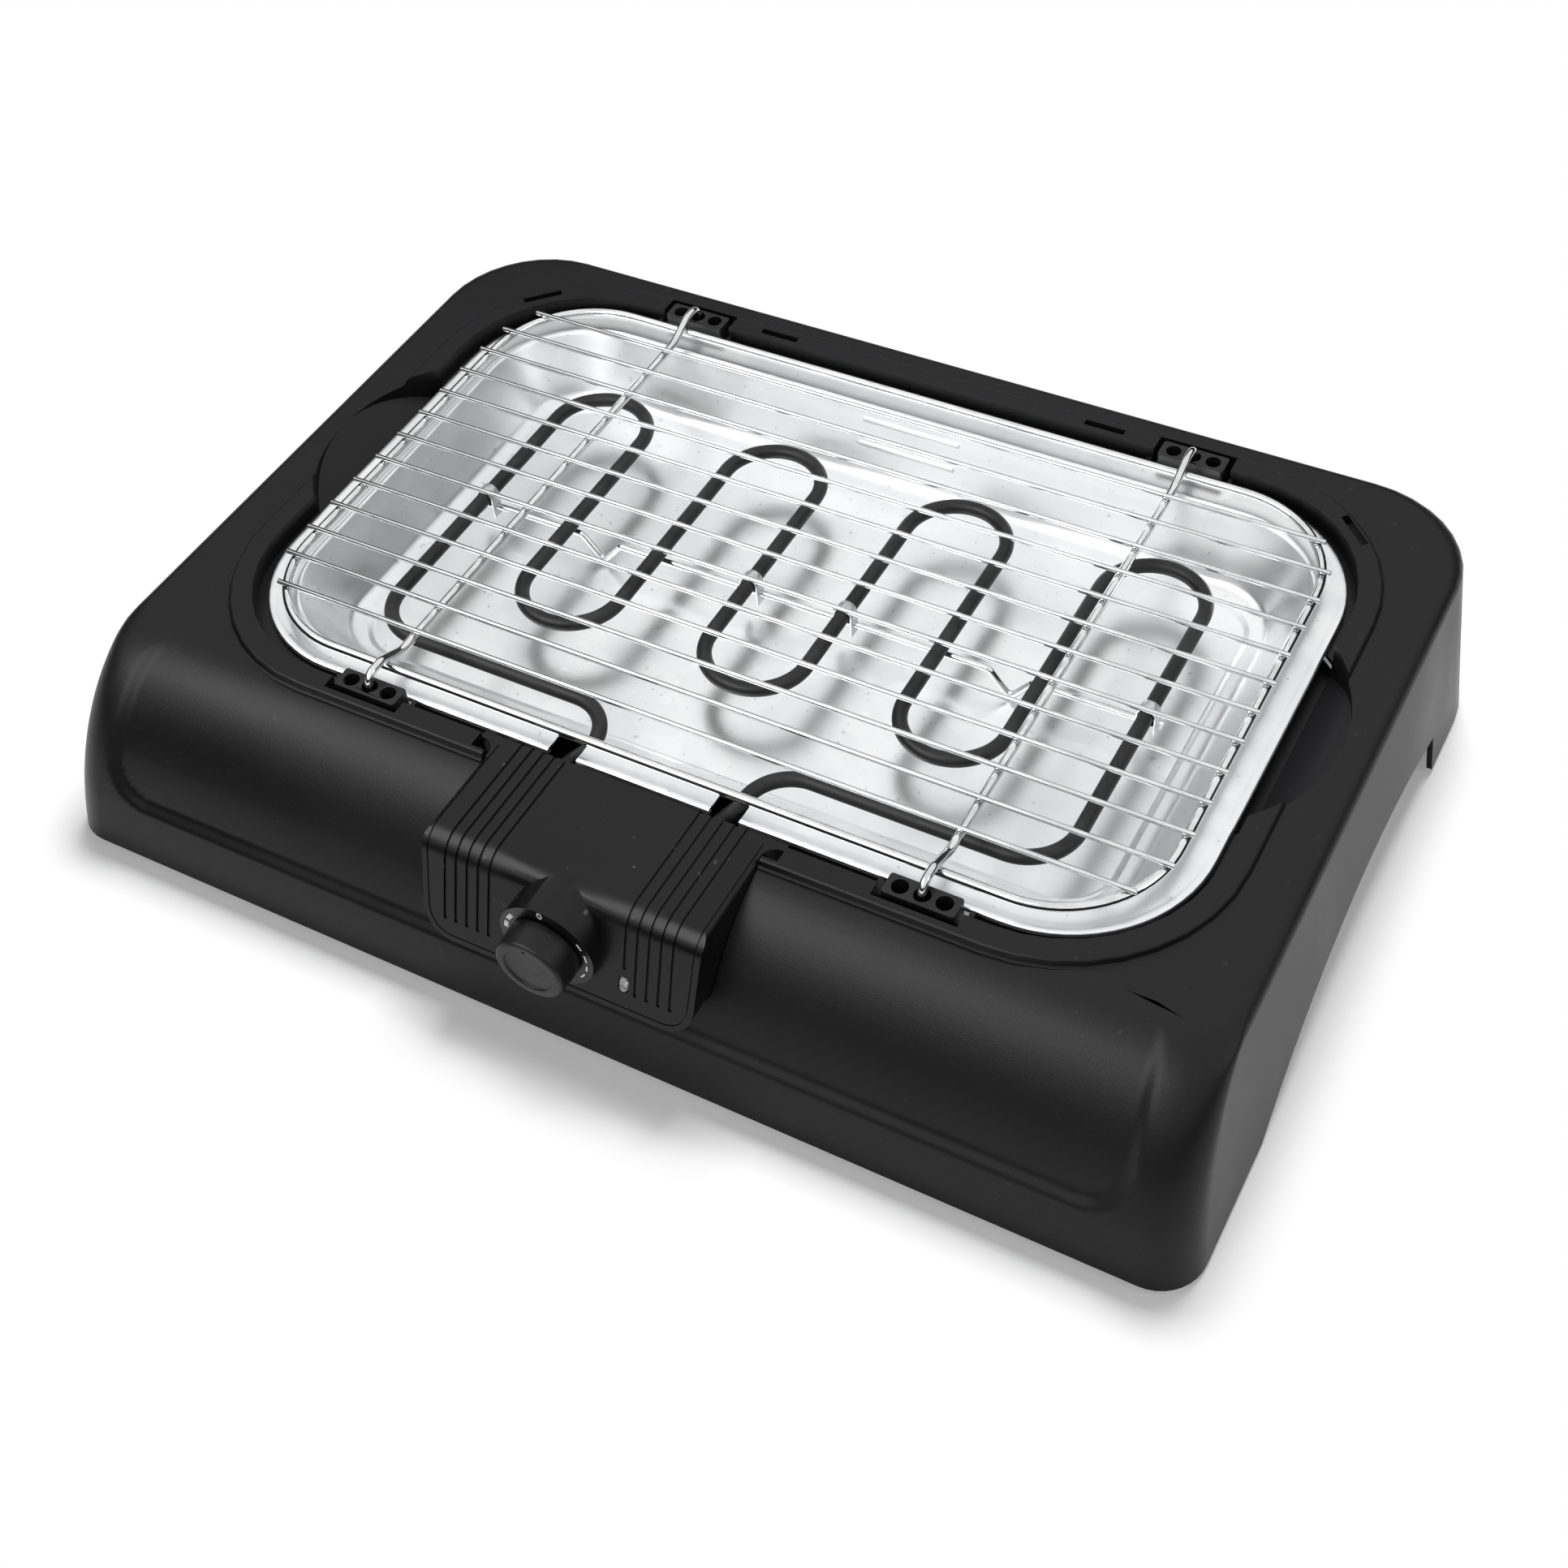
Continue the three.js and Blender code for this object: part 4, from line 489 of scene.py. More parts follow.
# Zinc-coated tray sheet and pressed steel
def makeSheetMetal(name, look):
    material, tree, shader, vector = startFinish(name)
    effect = placeGroup(tree, zincBloom, vector, {
        "Patch Scale": look["patchScale"],
        "Flake Scale": look["flakeScale"],
        "Dent Scale": look["dentScale"],
        "Grain Scale": look["grainScale"],
        "Pit Scale": look["pitScale"],
    })
    base = blendColours(tree, effect["Patch"], look["bright"], look["dull"])
    flakeShare = addMath(tree, "MULTIPLY", effect["Flake"], look["flakes"])
    flaked = blendColours(tree, flakeShare, base, look["flakeTone"])
    pitted = addMath(tree, "MULTIPLY", effect["Pit"], look["pits"])
    tree.links.new(blendColours(tree, pitted, flaked, look["pitTone"]), shader.inputs["Base Color"])
    shader.inputs["Metallic"].default_value = 1
    patchGloss = addRange(tree, effect["Patch"], 0, 1, look["smooth"], look["rough"])
    flakeGloss = addMath(tree, "MULTIPLY", effect["Flake"], look["flakeRough"])
    tree.links.new(addMath(tree, "ADD", patchGloss, flakeGloss), shader.inputs["Roughness"])
    dents = addMath(tree, "MULTIPLY", effect["Dent"], look["dentShare"])
    grain = addMath(tree, "MULTIPLY", effect["Grain"], look["grainShare"])
    addBump(tree, shader, addMath(tree, "ADD", dents, grain), look["bump"], look["depth"])
    return material


trayFinish = makeSheetMetal("galvanisedTray", {
    "patchScale": 9, "flakeScale": 85, "dentScale": 15, "grainScale": 1000,
    "bright": (0.95, 0.953, 0.956), "dull": (0.86, 0.867, 0.875),
    "flakes": 0.2, "flakeTone": (0.76, 0.775, 0.79), "flakeRough": 0.03,
    "pitScale": 300, "pits": 0.35, "pitTone": (0.30, 0.30, 0.31),
    "smooth": 0.27, "rough": 0.34,
    "dentShare": 1.0, "grainShare": 0.02, "bump": 0.03, "depth": 0.0006,
})
zincFinish = makeSheetMetal("zincPlatedSteel", {
    "patchScale": 60, "flakeScale": 420, "dentScale": 160, "grainScale": 1800,
    "bright": (0.74, 0.745, 0.75), "dull": (0.56, 0.565, 0.57),
    "flakes": 0.25, "flakeTone": (0.45, 0.45, 0.46), "flakeRough": 0.08,
    "pitScale": 900, "pits": 0.5, "pitTone": (0.20, 0.19, 0.18),
    "smooth": 0.22, "rough": 0.36,
    "dentShare": 1.0, "grainShare": 0.2, "bump": 0.25, "depth": 0.0003,
})


# Round wires and tubes
def makeRoundStock(name, look):
    material, tree, shader, vector = startFinish(name)
    effect = placeGroup(tree, drawnMarks, vector, {
        "Mark Scale": look["markScale"],
        "Stain Scale": look["stainScale"],
    })
    tone = blendColours(tree, effect["Stain"], look["clean"], look["stained"])
    tree.links.new(tone, shader.inputs["Base Color"])
    shader.inputs["Metallic"].default_value = look["metal"]
    shader.inputs["Specular IOR Level"].default_value = look["shine"]
    stainGloss = addRange(tree, effect["Stain"], 0, 1, look["smooth"], look["rough"])
    markGloss = addMath(tree, "MULTIPLY", effect["Mark"], look["markRough"])
    tree.links.new(addMath(tree, "ADD", stainGloss, markGloss), shader.inputs["Roughness"])
    addBump(tree, shader, effect["Mark"], look["bump"], look["depth"])
    return material


chromeFinish = makeRoundStock("chromedWire", {
    "markScale": 650, "stainScale": 55, "metal": 1, "shine": 0.5,
    "clean": (0.80, 0.803, 0.806), "stained": (0.66, 0.664, 0.67),
    "smooth": 0.03, "rough": 0.09, "markRough": 0.05, "bump": 0.06, "depth": 0.0001,
})
tubeFinish = makeRoundStock("heaterTube", {
    "markScale": 520, "stainScale": 34, "metal": 0.25, "shine": 0.4,
    "clean": (0.012, 0.012, 0.0125), "stained": (0.030, 0.030, 0.031),
    "smooth": 0.34, "rough": 0.5, "markRough": 0.1, "bump": 0.3, "depth": 0.00015,
})


def makeClear(name, look):
    material, tree, shader, vector = startFinish(name)
    effect = placeGroup(tree, drawnMarks, vector, {
        "Mark Scale": look["markScale"],
        "Stain Scale": look["stainScale"],
    })
    tone = blendColours(tree, effect["Stain"], look["clean"], look["stained"])
    tree.links.new(tone, shader.inputs["Base Color"])
    gloss = addRange(tree, effect["Mark"], 0.3, 0.7, look["smooth"], look["rough"])
    tree.links.new(gloss, shader.inputs["Roughness"])
    shader.inputs["Transmission Weight"].default_value = look["clear"]
    shader.inputs["IOR"].default_value = look["ior"]
    addBump(tree, shader, effect["Mark"], look["bump"], look["depth"])
    return material


lensFinish = makeClear("clearLens", {
    "markScale": 500, "stainScale": 200, "clean": (0.96, 0.95, 0.94), "stained": (0.86, 0.85, 0.84),
    "smooth": 0.03, "rough": 0.08, "clear": 0.85, "ior": 1.49, "bump": 0.1, "depth": 0.0001,
})
lampFinish = makeClear("frostedLamp", {
    "markScale": 900, "stainScale": 300, "clean": (0.85, 0.80, 0.76), "stained": (0.62, 0.50, 0.45),
    "smooth": 0.2, "rough": 0.4, "clear": 0.35, "ior": 1.45, "bump": 0.3, "depth": 0.0001,
})
print("finishes ready")


# Modelling helpers
def itemsOf(made, kind, key="geom"):
    return [item for item in made[key] if isinstance(item, kind)]


def finishPiece(bm, name, body, material, stands=(), sharp=38):
    limit = math.radians(sharp)
    for face in bm.faces:
        face.smooth = True
    for edge in bm.edges:
        edge.smooth = len(edge.link_faces) == 2 and edge.calc_face_angle() < limit
    mesh = bpy.data.meshes.new(name)
    bm.to_mesh(mesh)
    bm.free()
    mesh.materials.append(material)
    piece = bpy.data.objects.new(name, mesh)
    bpy.context.scene.collection.objects.link(piece)
    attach(piece, body)
    if stands:
        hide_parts(*stands)
    return piece


def bevelEdges(bm, edges, offset, segments):
    return bmesh.ops.bevel(
        bm, geom=edges, offset=offset, offset_type="OFFSET", affect="EDGES",
        segments=segments, profile=0.5, material=-1, clamp_overlap=True,
    )


def softenCorners(bm, offset, segments, sharp=35):
    limit = math.radians(sharp)
    corners = [edge for edge in bm.edges if len(edge.link_faces) == 2 and edge.calc_face_angle() > limit]
    return bevelEdges(bm, corners, offset, segments)


def evenShading(piece):
    weighted = piece.modifiers.new("evenShading", "WEIGHTED_NORMAL")
    weighted.keep_sharp = True


# A finer twin of a CAD node: its triangles merged, its flats rejoined, its edges rounded
def roundedTwin(nodeName, name, body, material, edge, segments=2, sharp=35):
    bm = bmesh.new()
    bm.from_mesh(nodes[nodeName].data)
    bmesh.ops.remove_doubles(bm, verts=bm.verts, dist=3e-6)
    bmesh.ops.dissolve_limit(bm, angle_limit=math.radians(0.5), verts=bm.verts, edges=bm.edges)
    softenCorners(bm, edge, segments, sharp)
    piece = finishPiece(bm, name, body, material, [nodeName])
    evenShading(piece)
    return piece


def cutFrom(piece, cutter):
    cut = piece.modifiers.new("cut", "BOOLEAN")
    cut.operation = "DIFFERENCE"
    cut.solver = "EXACT"
    cut.object = cutter
    bpy.context.view_layer.update()
    graph = bpy.context.evaluated_depsgraph_get()
    mesh = bpy.data.meshes.new_from_object(piece.evaluated_get(graph))
    piece.modifiers.remove(cut)
    old = piece.data
    piece.data = mesh
    bpy.data.meshes.remove(old)
    bpy.data.objects.remove(cutter)


# Bars bent from round stock: each corner is a point and a bend radius
def startRing(bm, place, heading, radius, sides):
    turn = heading.to_track_quat("Z", "Y").to_matrix().to_4x4()
    made = bmesh.ops.create_circle(
        bm, cap_ends=False, segments=sides, radius=radius, matrix=Matrix.Translation(place) @ turn,
    )
    return list({edge for vert in made["verts"] for edge in vert.link_edges})


def pushRing(bm, ring, offset):
    made = bmesh.ops.extrude_edge_only(bm, edges=ring)
    bmesh.ops.translate(bm, vec=offset, verts=itemsOf(made, bmesh.types.BMVert))
    return [edge for edge in itemsOf(made, bmesh.types.BMEdge) if edge.is_boundary]


def bendRing(bm, ring, start, heading, leaving, radius, stepAngle):
    turn = heading.angle(leaving)
    axis = heading.cross(leaving).normalized()
    centre = start + axis.cross(heading) * radius
    steps = max(2, math.ceil(turn / stepAngle))
    made = bmesh.ops.spin(bm, geom=ring, cent=centre, axis=axis, angle=turn, steps=steps, use_duplicate=False)
    return itemsOf(made, bmesh.types.BMEdge, "geom_last")


def closeEnd(bm, ring, rounding):
    bmesh.ops.holes_fill(bm, edges=ring, sides=0)
    bevelEdges(bm, ring, rounding, 2)


def bentBar(bm, route, radius, sides=16, stepAngle=math.radians(9), rounding=None):
    points = [Vector(point) for point, bend in route]
    headings = [(after - before).normalized() for before, after in zip(points, points[1:])]
    ring = startRing(bm, points[0], headings[0], radius, sides)
    firstRing = list(ring)
    here = points[0]
    for index in range(1, len(points) - 1):
        heading, leaving, bend = headings[index - 1], headings[index], route[index][1]
        reach = bend * math.tan(heading.angle(leaving) / 2)
        start = points[index] - heading * reach
        if (start - here).length > 1e-6:
            ring = pushRing(bm, ring, start - here)
        ring = bendRing(bm, ring, start, heading, leaving, bend, stepAngle)
        here = points[index] + leaving * reach
    ring = pushRing(bm, ring, points[-1] - here)
    if rounding is not None:
        closeEnd(bm, firstRing, rounding)
        closeEnd(bm, ring, rounding)
    return firstRing, ring


# Rounded rectangles, all with the same count of points, and the skin between them
def roundedLoop(bm, left, right, front, rear, radius, z, steps=12):
    middle = Matrix.Translation(((left + right) / 2, (front + rear) / 2, z))
    made = bmesh.ops.create_grid(
        bm, x_segments=1, y_segments=1, size=0.5,
        matrix=middle @ Matrix.Diagonal((right - left, rear - front, 1, 1)),
    )
    rounded = bmesh.ops.bevel(
        bm, geom=made["verts"], offset=radius, offset_type="OFFSET", affect="VERTICES",
        segments=steps, profile=0.5, material=-1, clamp_overlap=False,
    )
    face = rounded["verts"][0].link_faces[0]
    loop = list(face.edges)
    bmesh.ops.delete(bm, geom=[face], context="FACES_ONLY")
    return loop


def skinLoops(bm, loops):
    for lower, upper in zip(loops, loops[1:]):
        bmesh.ops.bridge_loops(bm, edges=lower + upper)


# A turned piece: its half profile, as (radius, place along the axis), goes once round
def turnedForm(bm, profile, centre, axis, steps):
    axis = Vector(axis)
    aside = axis.orthogonal().normalized()
    centre = Vector(centre)
    verts = [bm.verts.new(centre + axis * along + aside * radius) for radius, along in profile]
    edges = [bm.edges.new(pair) for pair in zip(verts, verts[1:])]
    bmesh.ops.spin(
        bm, geom=verts + edges, cent=centre, axis=axis, angle=fullTurn, steps=steps,
        use_merge=True, use_duplicate=False,
    )
    bmesh.ops.remove_doubles(bm, verts=bm.verts, dist=1e-7)
    bmesh.ops.recalc_face_normals(bm, faces=bm.faces)


def dressNode(nodeName, material, edge):
    node = nodes[nodeName]
    node.data.materials.clear()
    node.data.materials.append(material)
    weld = node.modifiers.new("weld", "WELD")
    weld.merge_threshold = 2e-6
    bevel = node.modifiers.new("softEdges", "BEVEL")
    bevel.width = edge
    bevel.segments = 2
    bevel.limit_method = "ANGLE"
    bevel.angle_limit = math.radians(35)
    bevel.harden_normals = False


# Housing and the rack blocks that sit in its ring
housingLook = {"edge": 0.0006, "segments": 3}
blockLook = {"edge": 0.0005, "segments": 2}
roundedTwin("housing", "housing_shell", "housing_body", housingFinish,
            housingLook["edge"], housingLook["segments"])
places = [row + "_" + side for row in ("front", "rear") for side in ("left", "right")]
for place in places:
    roundedTwin("rack_block_" + place, "wire_block_" + place, "housing_body", blockFinish,
                blockLook["edge"], blockLook["segments"])
print("housing and blocks ready")


# Feet: a soft pad with a rounded sole, and a barbed stem through the web
footLook = {
    "profile": ((0, 0.2), (5.2, 0.2), (5.8, 0), (7.9, 0), (8.7, 0.35), (9.0, 1.1), (8.9, 1.9), (8.5, 2.2),
                (2.7, 2.2), (2.7, 5.2), (3.3, 5.3), (3.7, 5.6), (2.9, 6.6), (2.0, 7.0), (0, 7.0)),
    "steps": 40,
}
for place in places:
    low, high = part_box("foot_" + place)
    bm = bmesh.new()
    turnedForm(bm, [(radius * mm, along * mm) for radius, along in footLook["profile"]],
               ((low.x + high.x) / 2, (low.y + high.y) / 2, low.z), (0, 0, 1), footLook["steps"])
    finishPiece(bm, "rubber_foot_" + place, "housing_body", rubberFinish, ["foot_" + place])


# Screws: a domed head with a cross recess, and a threaded shank
screwLook = {"headRadius": 3.0, "headHeight": 1.8, "shankRadius": 1.4, "thread": 0.22, "pitch": 0.9,
             "crossLength": 3.1, "crossWidth": 0.75, "crossDepth": 1.1, "steps": 28}


def makeScrew(nodeName, name, body):
    look = screwLook
    low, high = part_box(nodeName)
    length = high.z - low.z
    head = look["headHeight"]
    profile = [(0, 0), (1.6, 0.05), (2.4, 0.35), (2.85, 0.85)]
    profile += [(look["headRadius"], 1.35), (look["headRadius"], head), (look["shankRadius"], head)]
    along = head + look["pitch"]
    while along + look["pitch"] < length / mm - 0.8:
        profile.append((look["shankRadius"] - look["thread"], along))
        profile.append((look["shankRadius"], along + look["pitch"] / 2))
        along += look["pitch"]
    profile += [(look["shankRadius"] - look["thread"], length / mm - 0.8), (0, length / mm)]
    centre = ((low.x + high.x) / 2, (low.y + high.y) / 2, low.z)
    bm = bmesh.new()
    turnedForm(bm, [(radius * mm, place * mm) for radius, place in profile], centre, (0, 0, 1), look["steps"])
    screw = finishPiece(bm, name, body, zincFinish, [nodeName])
    # The two slots are cut one after the other, so no cutter crosses itself
    longSide, shortSide = look["crossLength"], look["crossWidth"]
    for across, along in ((longSide, shortSide), (shortSide, longSide)):
        slot = bmesh.new()
        scale = Matrix.Diagonal((across * mm, along * mm, 2 * look["crossDepth"] * mm, 1))
        bmesh.ops.create_cube(slot, size=1, matrix=Matrix.Translation(centre) @ scale)
        mesh = bpy.data.meshes.new("slot")
        slot.to_mesh(mesh)
        slot.free()
        cutter = bpy.data.objects.new("slot", mesh)
        bpy.context.scene.collection.objects.link(cutter)
        cutFrom(screw, cutter)


for place in places:
    makeScrew("block_screw_" + place, "wire_block_screw_" + place, "housing_body")
    makeScrew("cover_screw_" + place, "box_screw_" + place, "heater_unit")
print("feet and screws ready")


# Drip tray: insets from the rim's outer edge against heights, in millimetres
trayLook = {
    "section": (
        (2.6, 77.75), (1.0, 77.6), (0.25, 78.0), (0.0, 78.7), (0.0, 79.5), (0.3, 80.15), (1.0, 80.45),
        (2.4, 80.5), (3.2, 80.3), (4.6, 80.16), (7.6, 80.26), (10.6, 80.18), (12.0, 80.45), (13.2, 80.42),
        (14.1, 80.0), (14.7, 79.2), (15.4, 77.9), (22.2, 66.2), (28.4, 56.1), (29.3, 54.7), (30.6, 53.5),
        (32.2, 52.7), (34.4, 52.2), (36.9, 51.98), (37.25, 51.86), (38.2, 51.3), (39.2, 50.74),
        (39.55, 50.58), (40.2, 50.5),
    ),
    "halfWidth": 214.0,
    "front": -128.4,
    "rear": 128.6,
    "radius": 60.0,
    "cornerSteps": 16,
    "sheet": 0.9,
    "notchX": 37.0,
    "notchHalf": 6.7,
    "notchRear": -100.4,
    "notchLow": 64.0,
}
barLook = {"left": -25.0, "right": 23.0, "heights": (65.4, 74.9), "width": 2.4, "proud": 0.7}


def trayLoop(bm, inset, z):
    look = trayLook
    half = (look["halfWidth"] - inset) * mm
    front = rackY + (look["front"] + inset) * mm
    rear = rackY + (look["rear"] - inset) * mm
    radius = (look["radius"] - inset) * mm
    return roundedLoop(bm, -half, half, front, rear, radius, z * mm, look["cornerSteps"])


def cutNotches(bm):
    look = trayLook
    for side in (-1, 1):
        left, right = (side * look["notchX"] + offset for offset in (-look["notchHalf"], look["notchHalf"]))
        planes = (
            ((left * mm, 0, 0), (1, 0, 0)),
            ((right * mm, 0, 0), (1, 0, 0)),
            ((0, 0, look["notchLow"] * mm), (0, 0, 1)),
        )
        for place, normal in planes:
            near = [face for face in bm.faces if face.calc_center_median().y < rackY + look["notchRear"] * mm]
            edges = {edge for face in near for edge in face.edges}
            verts = {vert for face in near for vert in face.verts}
            bmesh.ops.bisect_plane(bm, geom=near + list(edges) + list(verts), plane_co=place, plane_no=normal)
        gone = []
        for face in bm.faces:
            middle = face.calc_center_median()
            if left * mm < middle.x < right * mm and middle.z > look["notchLow"] * mm:
                if middle.y < rackY + look["notchRear"] * mm:
                    gone.append(face)
        bmesh.ops.delete(bm, geom=gone, context="FACES")


def stampBars(bm):
    # Two pressed bars lie on the rear wall, which leans as the tray's section does
    look = barLook
    lean = math.atan2(28.4 - 15.4, 77.9 - 56.1)
    for height in look["heights"]:
        inset = 15.4 + (77.9 - height) * math.tan(lean)
        y = rackY + (trayLook["rear"] - inset) * mm
        middle = Vector(((look["left"] + look["right"]) / 2 * mm, y, height * mm))
        place = Matrix.Translation(middle) @ Matrix.Rotation(-lean, 4, "X")
        size = (look["right"] - look["left"], 2 * look["proud"], look["width"])
        scale = Matrix.Diagonal((*(side * mm for side in size), 1))
        made = bmesh.ops.create_cube(bm, size=1, matrix=place @ scale)
        edges = {edge for vert in made["verts"] for edge in vert.link_edges}
        bevelEdges(bm, list(edges), 0.45 * look["proud"] * mm, 3)


bm = bmesh.new()
trayLoops = [trayLoop(bm, inset, z) for inset, z in trayLook["section"]]
skinLoops(bm, trayLoops)
bmesh.ops.contextual_create(bm, geom=trayLoops[-1])
bmesh.ops.recalc_face_normals(bm, faces=bm.faces)
if max(bm.faces, key=lambda face: face.calc_area()).normal.z < 0:
    bmesh.ops.reverse_faces(bm, faces=bm.faces)
cutNotches(bm)
tray = finishPiece(bm, "tray_pan", "drip_tray_body", trayFinish, ["drip_tray"], 50)
thickness = tray.modifiers.new("sheet", "SOLIDIFY")
thickness.thickness = trayLook["sheet"] * mm
thickness.offset = -1
evenShading(tray)
bm = bmesh.new()
stampBars(bm)
finishPiece(bm, "tray_stamped_bars", "drip_tray_body", trayFinish)
print("tray ready")


# Rack: rim wire, cross wires and the two leg wires
rackLook = {"rimBend": 48.0, "rimSides": 20, "crossSides": 14, "legSides": 18, "endRounding": 0.35}
legLook = {"crest": 92.35, "level": 86.7, "end": 134.2, "shoulder": 124.6, "knee": 111.5,
           "legBend": 5.0, "kneeBend": 12.0}


def makeRimWire():
    radius = (rimHigh.z - rimLow.z) / 2
    level = (rimHigh.z + rimLow.z) / 2
    left, right = rimLow.x + radius, rimHigh.x - radius
    front, rear = rimLow.y + radius, rimHigh.y - radius
    bend = rackLook["rimBend"] * mm
    middle = Vector(((left + right) / 2, front, level))
    corners = [Vector((x, y, level)) for x, y in ((right, front), (right, rear), (left, rear), (left, front))]
    route = [(middle, 0)] + [(corner, bend) for corner in corners] + [(middle, 0)]
    bm = bmesh.new()
    bentBar(bm, route, radius, rackLook["rimSides"], math.radians(5))
    bmesh.ops.remove_doubles(bm, verts=bm.verts, dist=1e-6)
    bmesh.ops.recalc_face_normals(bm, faces=bm.faces)
    finishPiece(bm, "rack_rim", "rack_body", chromeFinish, ["rack_rim_wire"])


def makeCrossWire(nodeName):
    low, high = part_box(nodeName)
    radius = (high.z - low.z) / 2
    y, z = (low.y + high.y) / 2, (low.z + high.z) / 2
    bm = bmesh.new()
    bentBar(bm, [((low.x, y, z), 0), ((high.x, y, z), 0)], radius, rackLook["crossSides"],
            rounding=rackLook["endRounding"] * mm)
    bmesh.ops.recalc_face_normals(bm, faces=bm.faces)
    name = nodeName.replace("rack_cross_wire", "cross_wire")
    finishPiece(bm, name, "rack_body", chromeFinish, [nodeName])


def makeLegWire(side):
    nodeName = "rack_leg_wire_" + side
    look = legLook
    low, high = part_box(nodeName)
    x = (low.x + high.x) / 2

    def half(way):
        return [
            ((x, rackY + way * look["end"] * mm, low.z), 0),
            ((x, rackY + way * look["end"] * mm, look["crest"] * mm), look["legBend"] * mm),
            ((x, rackY + way * look["shoulder"] * mm, look["crest"] * mm), look["legBend"] * mm),
            ((x, rackY + way * look["knee"] * mm, look["level"] * mm), look["kneeBend"] * mm),
        ]

    bm = bmesh.new()
    bentBar(bm, half(-1) + half(1)[::-1], (high.x - low.x) / 2, rackLook["legSides"],
            rounding=rackLook["endRounding"] * mm)
    bmesh.ops.recalc_face_normals(bm, faces=bm.faces)
    finishPiece(bm, "leg_wire_" + side, "rack_body", chromeFinish, [nodeName])


makeRimWire()
crossNodes = sorted(name for name in nodes if name.startswith("rack_cross_wire"))
for crossNode in crossNodes:
    makeCrossWire(crossNode)
for side in ("left", "right"):
    makeLegWire(side)
print("rack ready:", len(crossNodes), "cross wires")


# Heating element, its rod and the clips that hold it, in millimetres from the rack's middle
elementLook = {"radius": 3.25, "level": 69.7, "halfWidth": 159.6, "runs": 8, "rear": 81.8, "turnFront": -57.6,
               "front": -90.5, "cornerBend": 22.0, "legBend": 20.0, "terminalX": 35.0, "terminalLevel": 76.0,
               "rampFront": -128.0, "rampRear": -114.0, "rampBend": 8.0, "tip": -150.2, "sides": 24,
               "pinRadius": 1.6, "pinReach": 10.0}
rodLook = {"radius": 1.5, "level": 64.65, "footLevel": 52.3, "footX": 99.5, "footHalf": 10.0, "bend": 3.0,
           "halfLength": 166.0, "flatLength": 9.0, "flatWidth": 1.35, "flatDepth": 0.62, "sides": 16,
           "crimps": ((0.12, 1), (0.28, 1), (0.34, 0.8), (0.42, 0.8), (0.48, 1), (0.62, 1),
                      (0.68, 0.8), (0.76, 0.8), (0.82, 1), (1.0, 1))}
clipLook = {"inner": 3.55, "sheet": 0.8, "width": 6.0, "foot": 59.15, "edge": 0.22, "steps": 16}


def fromRack(x, y, z):
    return Vector((x * mm, rackY + y * mm, z * mm))


def makeElement():
    look = elementLook
    pitch = 2 * look["halfWidth"] / (look["runs"] - 1)
    turnBend = pitch / 2 * 0.9999

    def lead(side):
        x, ramp = side * look["terminalX"], look["rampBend"] * mm
        return [
            (fromRack(x, look["tip"], look["terminalLevel"]), 0),
            (fromRack(x, look["rampFront"], look["terminalLevel"]), ramp),
            (fromRack(x, look["rampRear"], look["level"]), ramp),
            (fromRack(x, look["front"], look["level"]), look["legBend"] * mm),
            (fromRack(side * look["halfWidth"], look["front"], look["level"]), look["cornerBend"] * mm),
        ]

    route = lead(-1)
    for run in range(look["runs"] - 1):
        x = run * pitch - look["halfWidth"]
        end = look["turnFront"] if run % 2 else look["rear"]
        route.append((fromRack(x, end, look["level"]), turnBend * mm))
        route.append((fromRack(x + pitch, end, look["level"]), turnBend * mm))
    route += lead(1)[::-1]
    bm = bmesh.new()
    bentBar(bm, route, look["radius"] * mm, look["sides"], math.radians(6), 0.5 * mm)
    for side in (-1, 1):
        x = side * look["terminalX"]
        ends = [fromRack(x, look["tip"] + way * look["pinReach"], look["terminalLevel"]) for way in (-1, 0.5)]
        bentBar(bm, [(ends[0], 0), (ends[1], 0)], look["pinRadius"] * mm, 12, rounding=0.3 * mm)
    bmesh.ops.recalc_face_normals(bm, faces=bm.faces)
    finishPiece(bm, "heater_tube", "heater_unit", tubeFinish, ["heating_element"])


def makeRod():
    look = rodLook
    route = [(fromRack(-look["halfLength"] + look["flatLength"], 0, look["level"]), 0)]
    for side in (-1, 1):
        x = side * look["footX"]
        route += [
            (fromRack(x - look["footHalf"], 0, look["level"]), look["bend"] * mm),
            (fromRack(x, 0, look["footLevel"]), look["bend"] * mm),
            (fromRack(x + look["footHalf"], 0, look["level"]), look["bend"] * mm),
        ]
    route.append((fromRack(look["halfLength"] - look["flatLength"], 0, look["level"]), 0))
    bm = bmesh.new()
    ends = bentBar(bm, route, look["radius"] * mm, look["sides"], math.radians(9))
    for side, ring in zip((-1, 1), ends):
        # The end is pressed flat, with two crimps across it
        reach = look["halfLength"] - look["flatLength"]
        for share, press in look["crimps"]:
            before = reach
            reach = look["halfLength"] - look["flatLength"] * (1 - share)
            ring = pushRing(bm, ring, Vector((side * (reach - before) * mm, 0, 0)))
            verts = {vert for edge in ring for vert in edge.verts}
            middle = fromRack(side * reach, 0, look["level"])
            for vert in verts:
                away = vert.co - middle
                span = Vector((0, away.y, away.z))
                span = span.normalized() * look["radius"] * mm
                pressed = Vector((0, span.y * look["flatWidth"], span.z * look["flatDepth"]))
                vert.co = middle + pressed * press
        closeEnd(bm, ring, 0.25 * mm)
    bmesh.ops.recalc_face_normals(bm, faces=bm.faces)
    finishPiece(bm, "support_rod", "heater_unit", chromeFinish, ["element_support_rod"])


